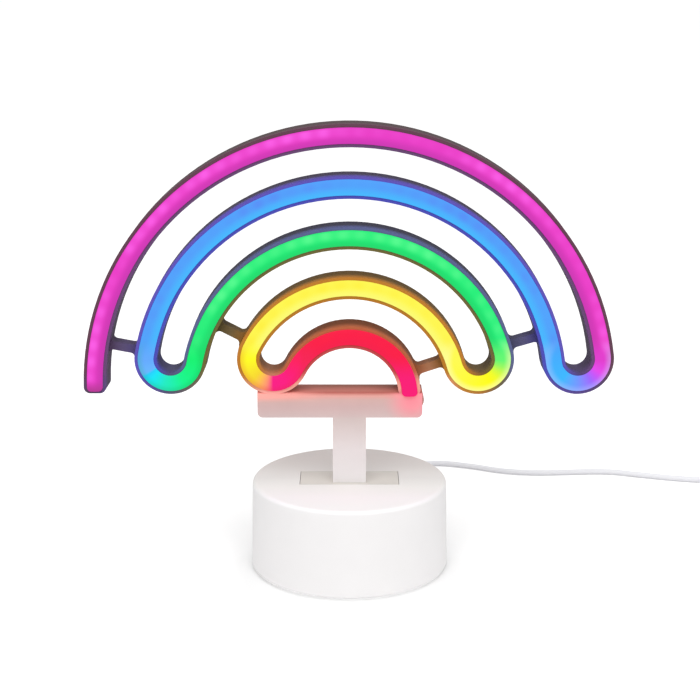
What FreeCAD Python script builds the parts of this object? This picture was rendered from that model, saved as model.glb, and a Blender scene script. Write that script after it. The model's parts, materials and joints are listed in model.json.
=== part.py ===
import FreeCAD, Part
import math
import os
import re

import Sketcher
from FreeCAD import Placement, Rotation, Vector

# Rainbow desk light in millimetres: +Z up, +X to the viewer's right, +Y to the back.
# The origin is on the table under the middle of the base.

SIZES = {
    # Rainbow centre line: five arcs over four turns, seen from the front
    "arch_centre": 92.9, "outer_radius": 125.9, "arc_pitch": 24.0, "arc_drop": 0.6,
    "turn_height": 109.0, "violet_lift": 2.2,
    # Channel that holds the light, with its drafted flanks and its rounded violet end
    "channel_front": 11.0, "channel_back": 11.4, "channel_depth": 15.0, "channel_floor": 2.0,
    "end_round": 3.1, "end_margin": 0.2,
    # Diffuser, and the lamp slot behind it
    "diffuser_width": 7.6, "diffuser_depth": 4.0, "diffuser_crown": 1.1, "diffuser_proud": 1.6,
    "diffuser_round": 1.8, "slot_gap": 0.1, "lamp_slot": 6.4,
    # Light strips, light chips and the links round the turns
    "strip_width": 5.0, "strip_thickness": 0.3, "strip_gap": 0.05,
    "led_pitch": 16.7, "led_length": 3.5, "led_width": 2.8, "led_height": 0.8, "led_gap": 0.01,
    "link_diameter": 0.6, "link_gap": 0.3,
    # Ribs between neighbouring arcs, by their height above the middle of the turns
    "rib_height": 4.2, "rib_depth": 8.0, "rib_inset": 2.0, "rib_round": 2.2, "rib_root": 1.2,
    "rib_violet_blue": 5.1, "rib_blue_green": 8.4, "rib_green_yellow": 12.9, "rib_yellow_red": -4.8,
    # Stand: crossbar with its reach beyond the red arc, stem and foot
    "bar_left": 15.7, "bar_right": 6.3, "bar_bottom": 79.3, "bar_top": 92.1, "bar_round": 2.6,
    "bar_edge": 1.4, "stem_width": 16.6, "stand_depth": 15.6, "stand_wall": 2.2, "lug_reach": 1.2,
    "lug_radius": 6.0, "lug_depth": 6.0,
    "foot_width": 49.5, "foot_depth": 19.6, "foot_height": 8.0, "foot_gap": 0.25,
    "foot_screw_inset": 7.0,
    "cover_thickness": 2.2, "cover_rim": 1.1, "cover_gap": 0.15, "cover_screw_inset": 10.0,
    "cover_screw_right": 16.0,
    # Base shell
    "base_radius": 50.0, "base_draft": 1.0, "base_height": 45.0, "base_lift": 0.8, "base_round": 2.0,
    "base_edge": 0.8, "base_wall": 3.4, "base_top": 3.0, "well_wall": 2.2,
    "boss_radius": 3.4, "boss_share": 0.82, "boss_gap": 1.6,
    # Base bottom with its battery bay and door
    "plate_rim": 2.2, "plate_thickness": 2.5, "plate_gap": 0.2,
    "bay_length_share": 1.16, "bay_width_share": 0.92, "bay_height": 16.0, "bay_wall": 1.5,
    "door_margin": 1.5, "door_thickness": 1.5, "door_gap": 0.25, "tab_width": 8.0, "tab_place": 15.0,
    "tab_reach": 1.75, "tab_thickness": 0.7, "scoop_radius": 7.0, "scoop_depth": 1.2,
    "contact_height": 12.0, "contact_width": 10.0, "contact_thickness": 0.5, "contact_share": 0.3,
    "spring_rise": 3.2,
    "pad_radius": 5.0, "pad_recess": 0.8, "pad_side_inset": 10.5, "pad_end_inset": 13.5,
    # Screws
    "screw_radius": 1.1, "screw_head": 2.1, "screw_head_height": 1.2, "screw_gap": 0.1,
    "screw_length": 8.0, "base_screw_length": 11.0, "bar_boss": 2.6, "bar_boss_rise": 1.95,
    "recess_reach": 1.3, "recess_width": 0.55, "recess_depth": 0.7,
    # Control board and switch
    "board_gap": 1.0, "board_right": 8.0, "board_depth": 11.8, "board_level": 9.0,
    "board_thickness": 1.6, "post_radius": 2.4, "post_inset": 2.5,
    "switch_width": 8.0, "switch_depth": 4.8, "switch_height": 5.0,
    "knob_width": 3.4, "knob_height": 3.0, "knob_travel": 3.0, "knob_inset": 1.1, "knob_gap": 0.3,
    "knob_seat": 1.6,
    "chip_side": 3.4, "chip_height": 1.6, "choke_width": 2.2, "choke_depth": 2.6, "choke_height": 2.4,
    "resistor_length": 2.0, "resistor_width": 1.2, "resistor_height": 0.6, "resistor_pitch": 2.6,
    "part_margin": 0.3,
    # Cord and its fittings
    "cord_diameter": 3.2, "cord_level": 13.0, "relief_length": 20.0, "relief_root": 3.6, "relief_tip": 2.3,
    "relief_flange": 4.4, "relief_flange_thickness": 1.6, "relief_neck": 2.9, "relief_gap": 0.1,
    "relief_groove": 0.3, "lead_straight": 9.6,
    "tail_gap": 5.5, "clamp_inset": 11.0, "clamp_depth": 5.0, "clamp_width": 14.0, "clamp_cap": 2.0,
    "clamp_screw": 5.0, "wire_diameter": 1.2, "wire_inset": 1.7, "wire_rise": 6.0, "supply_diameter": 1.0,
    "supply_dip": 2.2, "supply_lift": 0.8, "supply_turn": 5.0, "supply_sag": 0.9, "supply_return": 1.6,
    "coil_x": 240.0, "coil_top": 118.6, "coil_entry": 12.8, "coil_diameter": 38.4, "turn_pitch": 3.7,
    "layer_pitch": 3.7, "reverse_step": 0.9, "flare_x": 21.8, "flare_y": 17.4,
    "tie_width": 3.2, "tie_thickness": 0.8, "tie_gap": 0.2,
    "plug_offset": 36.0, "plug_drop": 8.0, "plug_straight": 3.2,
    "grip_width": 16.0, "grip_height": 8.4, "grip_length": 24.0, "grip_round": 2.0,
    "plug_width": 12.0, "plug_height": 4.5, "plug_length": 18.8, "plug_wall": 0.4,
    "tongue_width": 11.0, "tongue_height": 1.9, "tongue_length": 17.0,
}
COLOURS = ("violet", "blue", "green", "yellow", "red")
RIBS = ("rib_violet_blue", "rib_blue_green", "rib_green_yellow", "rib_yellow_red")
COIL_TURNS = 4
RELIEF_RINGS = 5
CONTACTS = 3
KNOB_GROOVES = 3
# Share of the shorter run that a bend of a cord or wire takes
ARC_SHARE = 0.45
# Two links run side by side at these shares of the strip's width
LINK_SHARES = (0.3, 0.7)
# How far a cutting tool overshoots, and how near two lengths count as equal
OUT = 1.0
CLOSE = 1e-4
ALONG = {
    "x": Rotation(Vector(0, 1, 0), 90),
    "y": Rotation(Vector(1, 0, 0), -90),
    "z": Rotation(),
}

doc = FreeCAD.newDocument("rainbow_light")
dim = doc.addObject("Spreadsheet::Sheet", "dim")
for row, (alias, number) in enumerate(SIZES.items(), start=1):
    dim.set(f"A{row}", alias)
    dim.set(f"B{row}", str(number))
    dim.setAlias(f"B{row}", alias)
doc.recompute()
nodes = {}


# Helpers

def formula(text):
    """Expression over the sheet for a formula written with plain size names."""
    return re.sub(r"[a-z]\w*", lambda word: f"dim.{word[0]}" if word[0] in SIZES else word[0], text)


def value(text):
    """Number that a formula gives with the sheet's present sizes."""
    number = dim.evalExpression(text)
    return getattr(number, "Value", number)


def bind(thing, prop, text):
    thing.setExpression(prop, formula(text))


def place(thing, spot):
    for axis, text in zip("xyz", spot):
        bind(thing, f"Placement.Base.{axis}", text)


def box(name, x, y, z):
    """Block between a low and a high formula along each axis."""
    block = doc.addObject("Part::Box", name)
    for (low, high), side in zip((x, y, z), ("Length", "Width", "Height")):
        bind(block, side, f"({high}) - ({low})")
    place(block, (x[0], y[0], z[0]))
    return block


def rod(name, radius, low, high, spot, axis="z"):
    """Cylinder along an axis from low to high; spot gives its two other coordinates."""
    bar = doc.addObject("Part::Cylinder", name)
    bind(bar, "Radius", radius)
    bind(bar, "Height", f"({high}) - ({low})")
    bar.Placement = Placement(Vector(), ALONG[axis])
    spot = list(spot)
    spot.insert("xyz".index(axis), low)
    place(bar, spot)
    return bar


def fuse(name, *shapes):
    union = doc.addObject("Part::MultiFuse", name)
    union.Shapes = list(shapes)
    union.Refine = True
    return union


def cut(name, base, *tools):
    piece = doc.addObject("Part::Cut", name)
    piece.Base = base
    piece.Tool = tools[0] if len(tools) == 1 else fuse(f"{name}_tools", *tools)
    return piece


def common(name, base, tool):
    piece = doc.addObject("Part::Common", name)
    piece.Base = base
    piece.Tool = tool
    return piece


def group(name, shapes):
    bundle = doc.addObject("Part::Compound", name)
    bundle.Links = list(shapes)
    return bundle


def node(name, thing):
    """Name a finished sub-part."""
    thing.Label = name
    nodes[name] = thing
    return thing


def fixed(name, shape, placement=None):
    """Sub-part whose shape is worked out here from the sheet's sizes."""
    thing = doc.addObject("Part::Feature", name)
    thing.Shape = shape
    thing.Placement = placement or Placement()
    return thing


def sketch_on(body, name, role):
    sketch = body.newObject("Sketcher::SketchObject", name)
    plane = next(plane for plane in body.Origin.OriginFeatures if plane.Role == role)
    sketch.AttachmentSupport = [(plane, "")]
    sketch.MapMode = "FlatFace"
    return sketch


def hold(sketch, kind, geometry, spot, text):
    """Hold a sketch point at a formula's distance from the sketch's origin."""
    if text == "0":
        axis = -2 if kind == "DistanceX" else -1
        sketch.addConstraint(Sketcher.Constraint("PointOnObject", geometry, spot, axis))
    else:
        index = sketch.addConstraint(Sketcher.Constraint(kind, -1, 1, geometry, spot, value(text)))
        bind(sketch, f"Constraints[{index}]", text)


def set_radius(sketch, geometry, text):
    index = sketch.addConstraint(Sketcher.Constraint("Radius", geometry, value(text)))
    bind(sketch, f"Constraints[{index}]", text)


def outline(sketch, corners):
    """Closed straight outline whose corners are held by pairs of formulas."""
    spots = [Vector(value(x), value(y), 0) for x, y in corners]
    count = len(spots)
    for corner in range(count):
        sketch.addGeometry(Part.LineSegment(spots[corner], spots[(corner + 1) % count]))
    for corner, (x, y) in enumerate(corners):
        sketch.addConstraint(Sketcher.Constraint("Coincident", corner, 2, (corner + 1) % count, 1))
        hold(sketch, "DistanceX", corner, 1, x)
        hold(sketch, "DistanceY", corner, 1, y)


def feature(body, kind, name, profile, **settings):
    """PartDesign feature on a profile; formulas are bound and other settings are set."""
    made = body.newObject(f"PartDesign::{kind}", name)
    made.Profile = profile
    for prop, setting in settings.items():
        if isinstance(setting, str) and prop in ("Length", "Angle"):
            bind(made, prop, setting)
        else:
            setattr(made, prop, setting)
    doc.recompute()
    return made


def dress(body, kind, name, amount, wanted):
    """Fillet or chamfer of the edges that the test picks."""
    doc.recompute()
    base = body.Tip
    edges = [f"Edge{n}" for n, edge in enumerate(base.Shape.Edges, start=1) if wanted(edge)]
    made = body.newObject(f"PartDesign::{kind}", name)
    made.Base = (base, edges)
    bind(made, "Radius" if kind == "Fillet" else "Size", amount)
    doc.recompute()
    return made


def near(number, text):
    return abs(number - value(text)) < CLOSE


# Rainbow centre line

def arc_radius(index):
    return f"outer_radius - {index} * arc_pitch"


def arc_height(index):
    return f"arch_centre - {index} * arc_drop"


RED_END = arc_radius(len(COLOURS) - 1)
BAR_LEFT = f"-({RED_END} + bar_left)"
BAR_RIGHT = f"{RED_END} + bar_right"
RADII = [value(arc_radius(index)) for index in range(len(COLOURS))]
HEIGHTS = [value(arc_height(index)) for index in range(len(COLOURS))]


def turn(index):
    """Centre x and radius of the turn between an arc and the next one in."""
    rise_out = value("turn_height") - HEIGHTS[index]
    rise_in = value("turn_height") - HEIGHTS[index + 1]
    big, small = RADII[index], RADII[index + 1]
    radius = (big**2 - small**2 - rise_out**2 + rise_in**2) / (2 * (big + small))
    x = math.sqrt((big - radius) ** 2 - rise_out**2)
    return (x if index % 2 == 0 else -x), radius


TURNS = [turn(index) for index in range(len(COLOURS) - 1)]


def turn_angle(index, arc):
    """Angle at which an arc meets a turn, in radians from +X towards +Z."""
    return math.atan2(value("turn_height") - HEIGHTS[arc], TURNS[index][0])


def arc_span(arc):
    """Right and left end angles of an arc."""
    right = 0.0
    left = math.pi - math.asin(value("violet_lift") / RADII[0])
    for index in (arc - 1, arc):
        if 0 <= index < len(TURNS):
            if TURNS[index][0] > 0:
                right = turn_angle(index, arc)
            else:
                left = turn_angle(index, arc)
    return right, left


def centre_line(body):
    """Sketch of the whole rainbow line, from the violet end to the red end."""
    sketch = sketch_on(body, f"{body.Name}_line", "XZ_Plane")
    upright = Vector(0, 0, 1)
    arcs = []
    for arc, (radius, height) in enumerate(zip(RADII, HEIGHTS)):
        circle = Part.Circle(Vector(0, height, 0), upright, radius)
        arcs.append(sketch.addGeometry(Part.ArcOfCircle(circle, *arc_span(arc))))
        sketch.addConstraint(Sketcher.Constraint("PointOnObject", arcs[arc], 3, -2))
        hold(sketch, "DistanceY", arcs[arc], 3, arc_height(arc))
        set_radius(sketch, arcs[arc], arc_radius(arc))
    for index, (x, radius) in enumerate(TURNS):
        circle = Part.Circle(Vector(x, value("turn_height"), 0), upright, radius)
        outer = turn_angle(index, index)
        inner = turn_angle(index, index + 1) + math.pi
        right = x > 0
        ends = (inner, outer + 2 * math.pi) if right else (outer, inner)
        bend = sketch.addGeometry(Part.ArcOfCircle(circle, *ends))
        side = 1 if right else 2
        sketch.addConstraint(Sketcher.Constraint("Tangent", arcs[index], side, bend, 3 - side))
        sketch.addConstraint(Sketcher.Constraint("Tangent", arcs[index + 1], side, bend, side))
        hold(sketch, "DistanceY", bend, 3, "turn_height")
    hold(sketch, "DistanceY", arcs[0], 2, "arch_centre + violet_lift")
    sketch.addConstraint(Sketcher.Constraint("Horizontal", arcs[-1], 1, arcs[-1], 3))
    return sketch


def section_on(body, name):
    """Sketch across the line at its violet end, with its own origin on the line."""
    sketch = sketch_on(body, name, "XY_Plane")
    bind(sketch, "AttachmentOffset.Base.z", "arch_centre + violet_lift")
    bind(sketch, "AttachmentOffset.Base.x", "-sqrt(outer_radius ^ 2 - violet_lift ^ 2)")
    return sketch


def swept(name, draw, end_round):
    """Body with a section swept along the whole line, and on to a rounded violet end."""
    body = doc.addObject("PartDesign::Body", name)
    line = centre_line(body)
    section = section_on(body, f"{name}_section")
    draw(section)
    doc.recompute()
    sweep = feature(body, "AdditivePipe", f"{name}_sweep", section, Spine=(line, []))
    plain = Part.Face(section.Shape).Area * line.Shape.Length
    print(f"{name}: volume {sweep.Shape.Volume:.1f}, section times length {plain:.1f}")
    reach = f"{end_round} + end_margin"
    feature(body, "Pad", f"{name}_end", section, Length=reach, Reversed=True)
    low = value(f"arch_centre + violet_lift - ({reach})")

    def end_corner(edge):
        return edge.BoundBox.ZMax < low + CLOSE and edge.BoundBox.YLength > edge.BoundBox.XLength

    dress(body, "Fillet", f"{name}_end_corners", end_round, end_corner)
    return body


FRONT = "-channel_depth / 2"
BACK = "channel_depth / 2"
CROWN = "-channel_depth / 2 - diffuser_proud"
LEDGE = f"{CROWN} + diffuser_depth"
SLOT_FLOOR = "channel_depth / 2 - channel_floor"


def draw_channel(section):
    outline(section, [
        ("-channel_front / 2", FRONT), ("channel_front / 2", FRONT),
        ("channel_back / 2", BACK), ("-channel_back / 2", BACK),
    ])


def draw_seat(section):
    """Groove that the diffuser sits in."""
    side = "diffuser_width / 2 + slot_gap"
    outline(section, [(f"-({side})", CROWN), (side, CROWN), (side, LEDGE), (f"-({side})", LEDGE)])


def draw_lamp_slot(section):
    """Narrower slot for the lamps, from inside the groove to the channel's floor."""
    side = "lamp_slot / 2"
    outline(section, [(f"-{side}", FRONT), (side, FRONT), (side, SLOT_FLOOR), (f"-{side}", SLOT_FLOOR)])


def draw_diffuser(section):
    """Flat-backed strip with a crowned face."""
    half, edge = "diffuser_width / 2", f"{CROWN} + diffuser_crown"
    x, top, low, crown = value(half), value(edge), value(LEDGE), value(CROWN)
    corners = [Vector(-x, top, 0), Vector(-x, low, 0), Vector(x, low, 0), Vector(x, top, 0)]
    for start, end in zip(corners, corners[1:]):
        section.addGeometry(Part.LineSegment(start, end))
    section.addGeometry(Part.Arc(corners[0], Vector(0, crown, 0), corners[3]))
    for first, first_end, second, second_end in ((0, 2, 1, 1), (1, 2, 2, 1), (2, 2, 3, 2), (0, 1, 3, 1)):
        section.addConstraint(Sketcher.Constraint("Coincident", first, first_end, second, second_end))
    for geometry, spot, place_x, place_y in (
        (0, 1, f"-{half}", edge), (1, 1, f"-{half}", LEDGE), (2, 1, half, LEDGE), (2, 2, half, edge),
    ):
        hold(section, "DistanceX", geometry, spot, place_x)
        hold(section, "DistanceY", geometry, spot, place_y)
    set_radius(section, 3, "(diffuser_width ^ 2 / 4 + diffuser_crown ^ 2) / (2 * diffuser_crown)")


# Sign housing: channel, ribs, crossbar, stem and foot in one moulding

def make_stand():
    """Crossbar and stem as one flat T with its rounded edges."""
    body = doc.addObject("PartDesign::Body", "stand")
    sketch = sketch_on(body, "stand_outline", "XZ_Plane")
    top_of_foot = "base_height - foot_height / 2"
    outline(sketch, [
        (BAR_LEFT, "bar_top"), (BAR_LEFT, "bar_bottom"), ("-stem_width / 2", "bar_bottom"),
        ("-stem_width / 2", top_of_foot), ("stem_width / 2", top_of_foot), ("stem_width / 2", "bar_bottom"),
        (BAR_RIGHT, "bar_bottom"), (BAR_RIGHT, "bar_top"),
    ])
    feature(body, "Pad", "stand_pad", sketch, Length="stand_depth", SideType="Symmetric")

    def lower_end(edge):
        box_of = edge.BoundBox
        at_end = near(box_of.XMin, BAR_LEFT) or near(box_of.XMin, BAR_RIGHT)
        return at_end and box_of.XLength < CLOSE and near(box_of.ZMax, "bar_bottom")

    def upper_front(edge):
        return near(edge.BoundBox.ZMin, "bar_top") and near(edge.BoundBox.YMax, "-stand_depth / 2")

    dress(body, "Fillet", "bar_ends", "bar_round", lower_end)
    dress(body, "Fillet", "bar_front", "bar_edge", upper_front)
    return body


def polar(degrees, centre):
    """Placement whose local x and y axes lie in the rainbow's plane, turned from +X towards +Z."""
    return Placement(centre, Rotation(Vector(0, -1, 0), degrees) * Rotation(Vector(1, 0, 0), 90))


def make_rib(index):
    """Web between two arcs, flared where it meets their channels."""
    flank = value("(channel_front + channel_back) / 4")
    inner, outer = RADII[index + 1] + flank, RADII[index] - flank
    root, half, flare = value("rib_root"), value("rib_height / 2"), value("rib_round")
    wide, bend = half + flare, flare * (1 - math.sqrt(0.5))

    def bow(wall, inward, side):
        """Corners of the flare from a channel's flank onto the web."""
        return [Vector(wall, side * wide, 0), Vector(wall + inward * bend, side * (half + bend), 0),
                Vector(wall + inward * flare, side * half, 0)]

    edges = []
    for side in (1, -1):
        near_bow, far_bow = bow(inner, 1, side), bow(outer, -1, side)
        edges += [
            Part.LineSegment(Vector(inner - root, side * wide, 0), near_bow[0]), Part.Arc(*near_bow),
            Part.LineSegment(near_bow[2], far_bow[2]), Part.Arc(*far_bow),
            Part.LineSegment(far_bow[0], Vector(outer + root, side * wide, 0)),
        ]
    for end in (inner - root, outer + root):
        edges.append(Part.LineSegment(Vector(end, wide, 0), Vector(end, -wide, 0)))
    sketch = doc.addObject("Sketcher::SketchObject", f"{RIBS[index]}_outline")
    sketch.addGeometry(edges)
    centre = Vector(0, value("channel_depth / 2 - rib_inset"), (HEIGHTS[index] + HEIGHTS[index + 1]) / 2)
    rise = value(f"turn_height + {RIBS[index]}") - centre.z
    angle = math.degrees(math.asin(rise * 2 / (RADII[index] + RADII[index + 1])))
    sketch.Placement = polar(angle if TURNS[index][0] < 0 else 180 - angle, centre)
    web = doc.addObject("Part::Extrusion", RIBS[index])
    web.Base = sketch
    web.DirMode = "Normal"
    bind(web, "LengthFwd", "rib_depth")
    web.Solid = True
    return web


STAND_BACK = "stand_depth / 2"
CAVITY_FRONT = "-stand_depth / 2 + stand_wall"
CAVITY_BACK = "stand_depth / 2 - cover_thickness"
BOSS_LEVEL = "bar_bottom + stand_wall + bar_boss_rise"
COVER_SPOTS = (
    (f"{BAR_LEFT} + cover_screw_inset", BOSS_LEVEL),
    (f"{BAR_RIGHT} - cover_screw_right", BOSS_LEVEL),
    ("0", "base_height + cover_screw_inset"),
)
FOOT_SPOTS = (("-foot_width / 2 + foot_screw_inset", "0"), ("foot_width / 2 - foot_screw_inset", "0"))
FOOT_LOW = "base_height - foot_height"
STEM_BORE = "stem_width / 2 - stand_wall"
SCREW_HOLE = "screw_radius + screw_gap"


def make_sign_housing():
    foot = box("foot", ("-foot_width / 2", "foot_width / 2"), ("-foot_depth / 2", "foot_depth / 2"),
               (FOOT_LOW, "base_height"))
    lug = rod("bar_lug", "lug_radius", f"{STAND_BACK} - lug_depth", STAND_BACK,
              (f"{BAR_RIGHT} + lug_reach - lug_radius", "(bar_bottom + bar_top) / 2"), "y")
    solid = fuse("sign_solid", swept("channel", draw_channel, "end_round"), make_stand(), foot, lug,
                 *(make_rib(index) for index in range(len(RIBS))))
    seat = swept("diffuser_seat", draw_seat, "diffuser_round")
    slot = swept("lamp_groove", draw_lamp_slot, "diffuser_round")
    bar_bore = box("bar_bore", (f"{BAR_LEFT} + stand_wall", f"{BAR_RIGHT} - stand_wall"),
                   (CAVITY_FRONT, CAVITY_BACK), ("bar_bottom + stand_wall", "bar_top - stand_wall"))
    stem_bore = box("stem_bore", (f"-({STEM_BORE})", STEM_BORE), (CAVITY_FRONT, CAVITY_BACK),
                    (f"{FOOT_LOW} - {OUT}", "bar_bottom + stand_wall + bar_boss"))
    bar_seat = box("bar_seat", (f"{BAR_LEFT} + cover_rim", f"{BAR_RIGHT} - cover_rim"),
                   (CAVITY_BACK, f"{STAND_BACK} + {OUT}"), ("bar_bottom + cover_rim", "bar_top - cover_rim"))
    stem_seat = box("stem_seat", ("-stem_width / 2 + cover_rim", "stem_width / 2 - cover_rim"),
                    (CAVITY_BACK, f"{STAND_BACK} + {OUT}"),
                    ("base_height + cover_rim", "bar_bottom + 2 * cover_rim"))
    passage = box("red_passage", (f"{RED_END} - lamp_slot / 2", f"{RED_END} + lamp_slot / 2"),
                  ("-wire_diameter", SLOT_FLOOR), ("bar_top - stand_wall - wire_diameter", "bar_top"))
    hollow = cut("sign_hollow", solid, seat, slot, bar_bore, stem_bore, bar_seat, stem_seat, passage)
    bosses, holes = [], []
    for number, (x, z) in enumerate(COVER_SPOTS):
        bosses.append(rod(f"cover_boss_{number}", "bar_boss", f"{CAVITY_FRONT} - {OUT}", CAVITY_BACK,
                          (x, z), "y"))
        holes.append(rod(f"cover_hole_{number}", SCREW_HOLE,
                         f"{CAVITY_BACK} - screw_length", f"{CAVITY_BACK} + {OUT}", (x, z), "y"))
    for number, spot in enumerate(FOOT_SPOTS):
        holes.append(rod(f"foot_hole_{number}", SCREW_HOLE, f"{FOOT_LOW} - {OUT}",
                         f"{FOOT_LOW} + screw_length - well_wall + screw_gap", spot))
    node("sign_housing", cut("sign_housing", fuse("sign_bosses", hollow, *bosses), *holes))


def make_diffusers():
    """One crowned strip in five colour lengths that butt in the middle of each turn."""
    strip = swept("diffuser", draw_diffuser, "diffuser_round")
    reach = "channel_depth"
    for arc, colour in enumerate(COLOURS):
        piece = strip
        for kind, index in ((common, arc - 1), (cut, arc)):
            if 0 <= index < len(TURNS):
                name = f"{colour}_{kind.__name__}"
                between = ("0", arc_height(f"({index} + 0.5)"))
                disc = rod(f"{name}_disc", arc_radius(f"({index} + 0.5)"), f"-{reach}", reach, between, "y")
                piece = kind(name, piece, disc)
        node(f"diffuser_{colour}", piece)


def make_lights():
    """Strips on edge along each arc's inner wall, with their chips facing outwards."""
    face_back = value(SLOT_FLOOR)
    strip_middle = value(f"{SLOT_FLOOR} - strip_width / 2")
    for arc, colour in enumerate(COLOURS):
        margin = value("link_gap") / RADII[arc]
        right, left = arc_span(arc)[0] + margin, arc_span(arc)[1] - margin
        inner = f"{arc_radius(arc)} - lamp_slot / 2 + strip_gap"
        band = doc.addObject("Part::Cylinder", f"{colour}_band")
        bind(band, "Radius", f"{inner} + strip_thickness")
        bind(band, "Height", "strip_width")
        band.Angle = math.degrees(left - right)
        centre = Vector(0, face_back, HEIGHTS[arc])
        band.Placement = polar(math.degrees(right), centre)
        core = doc.addObject("Part::Cylinder", f"{colour}_core")
        bind(core, "Radius", inner)
        bind(core, "Height", "strip_width")
        core.Placement = polar(0, centre)
        node(f"led_strip_{colour}", cut(f"{colour}_strip", band, core))
        seat = value(f"{inner} + strip_thickness + led_gap")
        count = int((left - right) * RADII[arc] / value("led_pitch"))
        chips = []
        for number in range(count):
            angle = right + (left - right) * (number + 0.5) / count
            chip = doc.addObject("Part::Box", f"{colour}_chip_{number}")
            bind(chip, "Length", "led_length")
            bind(chip, "Width", "led_width")
            bind(chip, "Height", "led_height")
            turned = Rotation(Vector(0, 1, 0), 90 - math.degrees(angle))
            shift = turned.multVec(Vector(-value("led_length") / 2, 0, 0))
            front = strip_middle - value("led_width") / 2
            out = Vector(math.cos(angle) * seat, front, math.sin(angle) * seat)
            chip.Placement = Placement(Vector(0, 0, HEIGHTS[arc]) + out + shift, turned)
            chips.append(chip)
        node(f"leds_{colour}", group(f"{colour}_chips", chips))


def make_links():
    """Pairs of wires that carry the supply round each turn from strip to strip."""
    depth = value("-lamp_slot / 2 + 2 * strip_gap + link_diameter / 2")
    wires = []
    for index, (x, _) in enumerate(TURNS):
        ends = []
        for arc in (index, index + 1):
            angle = turn_angle(index, arc)
            radius = RADII[arc] + depth
            ends.append(Vector(math.cos(angle) * radius, 0, HEIGHTS[arc] + math.sin(angle) * radius))
        middle, half = (ends[0] + ends[1]) / 2, (ends[0] - ends[1]) / 2
        trim = value("link_gap") / half.Length
        start = math.atan2(half.z, half.x) - (math.pi if x > 0 else 0) + trim
        for number, share in enumerate(LINK_SHARES):
            wire = doc.addObject("Part::Torus", f"link_{index}_{number}")
            wire.Radius1 = half.Length
            bind(wire, "Radius2", "link_diameter / 2")
            wire.Angle3 = math.degrees(math.pi - 2 * trim)
            level = value(f"{SLOT_FLOOR} - {share} * strip_width")
            wire.Placement = polar(math.degrees(start), Vector(middle.x, level, middle.z))
            wires.append(wire)
    node("strip_links", group("links", wires))


# Screws

def screw(name, length, spot, direction):
    """Screw with a cross recess; its head's underside is at the spot, its tip points along direction."""
    head = rod(f"{name}_head", "screw_head", "0", "screw_head_height", ("0", "0"))
    shank = rod(f"{name}_shank", "screw_radius", f"-({length})", "0", ("0", "0"))
    arm, half = "recess_reach", "recess_width / 2"
    deep = ("screw_head_height - recess_depth", f"screw_head_height + {OUT}")
    recess = [box(f"{name}_slot_a", (f"-{arm}", arm), (f"-{half}", half), deep),
              box(f"{name}_slot_b", (f"-{half}", half), (f"-{arm}", arm), deep)]
    made = cut(name, fuse(f"{name}_body", head, shank), *recess)
    place(made, spot)
    made.Placement = Placement(made.Placement.Base, Rotation(Vector(0, 0, -1), Vector(*direction)))
    return made


def screws(name, length, spots, direction):
    made = [screw(f"{name}_{n}", length, spot, direction) for n, spot in enumerate(spots)]
    node(name, group(name, made))


def make_back_cover():
    """T-shaped cover of the hollow crossbar and stem, with sunk screws."""
    gap = "cover_rim + cover_gap"
    bar = box("cover_bar", (f"{BAR_LEFT} + {gap}", f"{BAR_RIGHT} - ({gap})"), (CAVITY_BACK, STAND_BACK),
              (f"bar_bottom + {gap}", f"bar_top - ({gap})"))
    stem = box("cover_stem", (f"-stem_width / 2 + {gap}", f"stem_width / 2 - ({gap})"),
               (CAVITY_BACK, STAND_BACK), (f"base_height + {gap}", f"bar_bottom + 2 * ({gap})"))
    holes, spots = [], []
    seat = f"{STAND_BACK} - screw_head_height"
    for number, (x, z) in enumerate(COVER_SPOTS):
        holes.append(rod(f"cover_way_{number}", SCREW_HOLE, f"{CAVITY_BACK} - {OUT}",
                         f"{STAND_BACK} + {OUT}", (x, z), "y"))
        holes.append(rod(f"cover_sink_{number}", "screw_head + screw_gap", seat, f"{STAND_BACK} + {OUT}",
                         (x, z), "y"))
        spots.append((x, seat, z))
    node("stand_back_cover", cut("stand_back_cover", fuse("cover_plate", bar, stem), *holes))
    screws("cover_screws", "screw_length", spots, (0, -1, 0))


# Base

PLATE_LOW = "base_lift"
PLATE_TOP = "base_lift + plate_thickness"
WELL_LOW = "base_height - foot_height - well_wall"
CORNERS = tuple((sx, sy) for sx in ("", "-") for sy in ("", "-"))
BOSS_PLACE = "base_radius * boss_share * sqrt(0.5)"
BOSS_SPOTS = tuple((f"{sx}{BOSS_PLACE}", f"{sy}{BOSS_PLACE}") for sx, sy in CORNERS)
BASE_BORE = "base_radius - base_wall"
PLATE_RADIUS = "base_radius - plate_rim"


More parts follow.
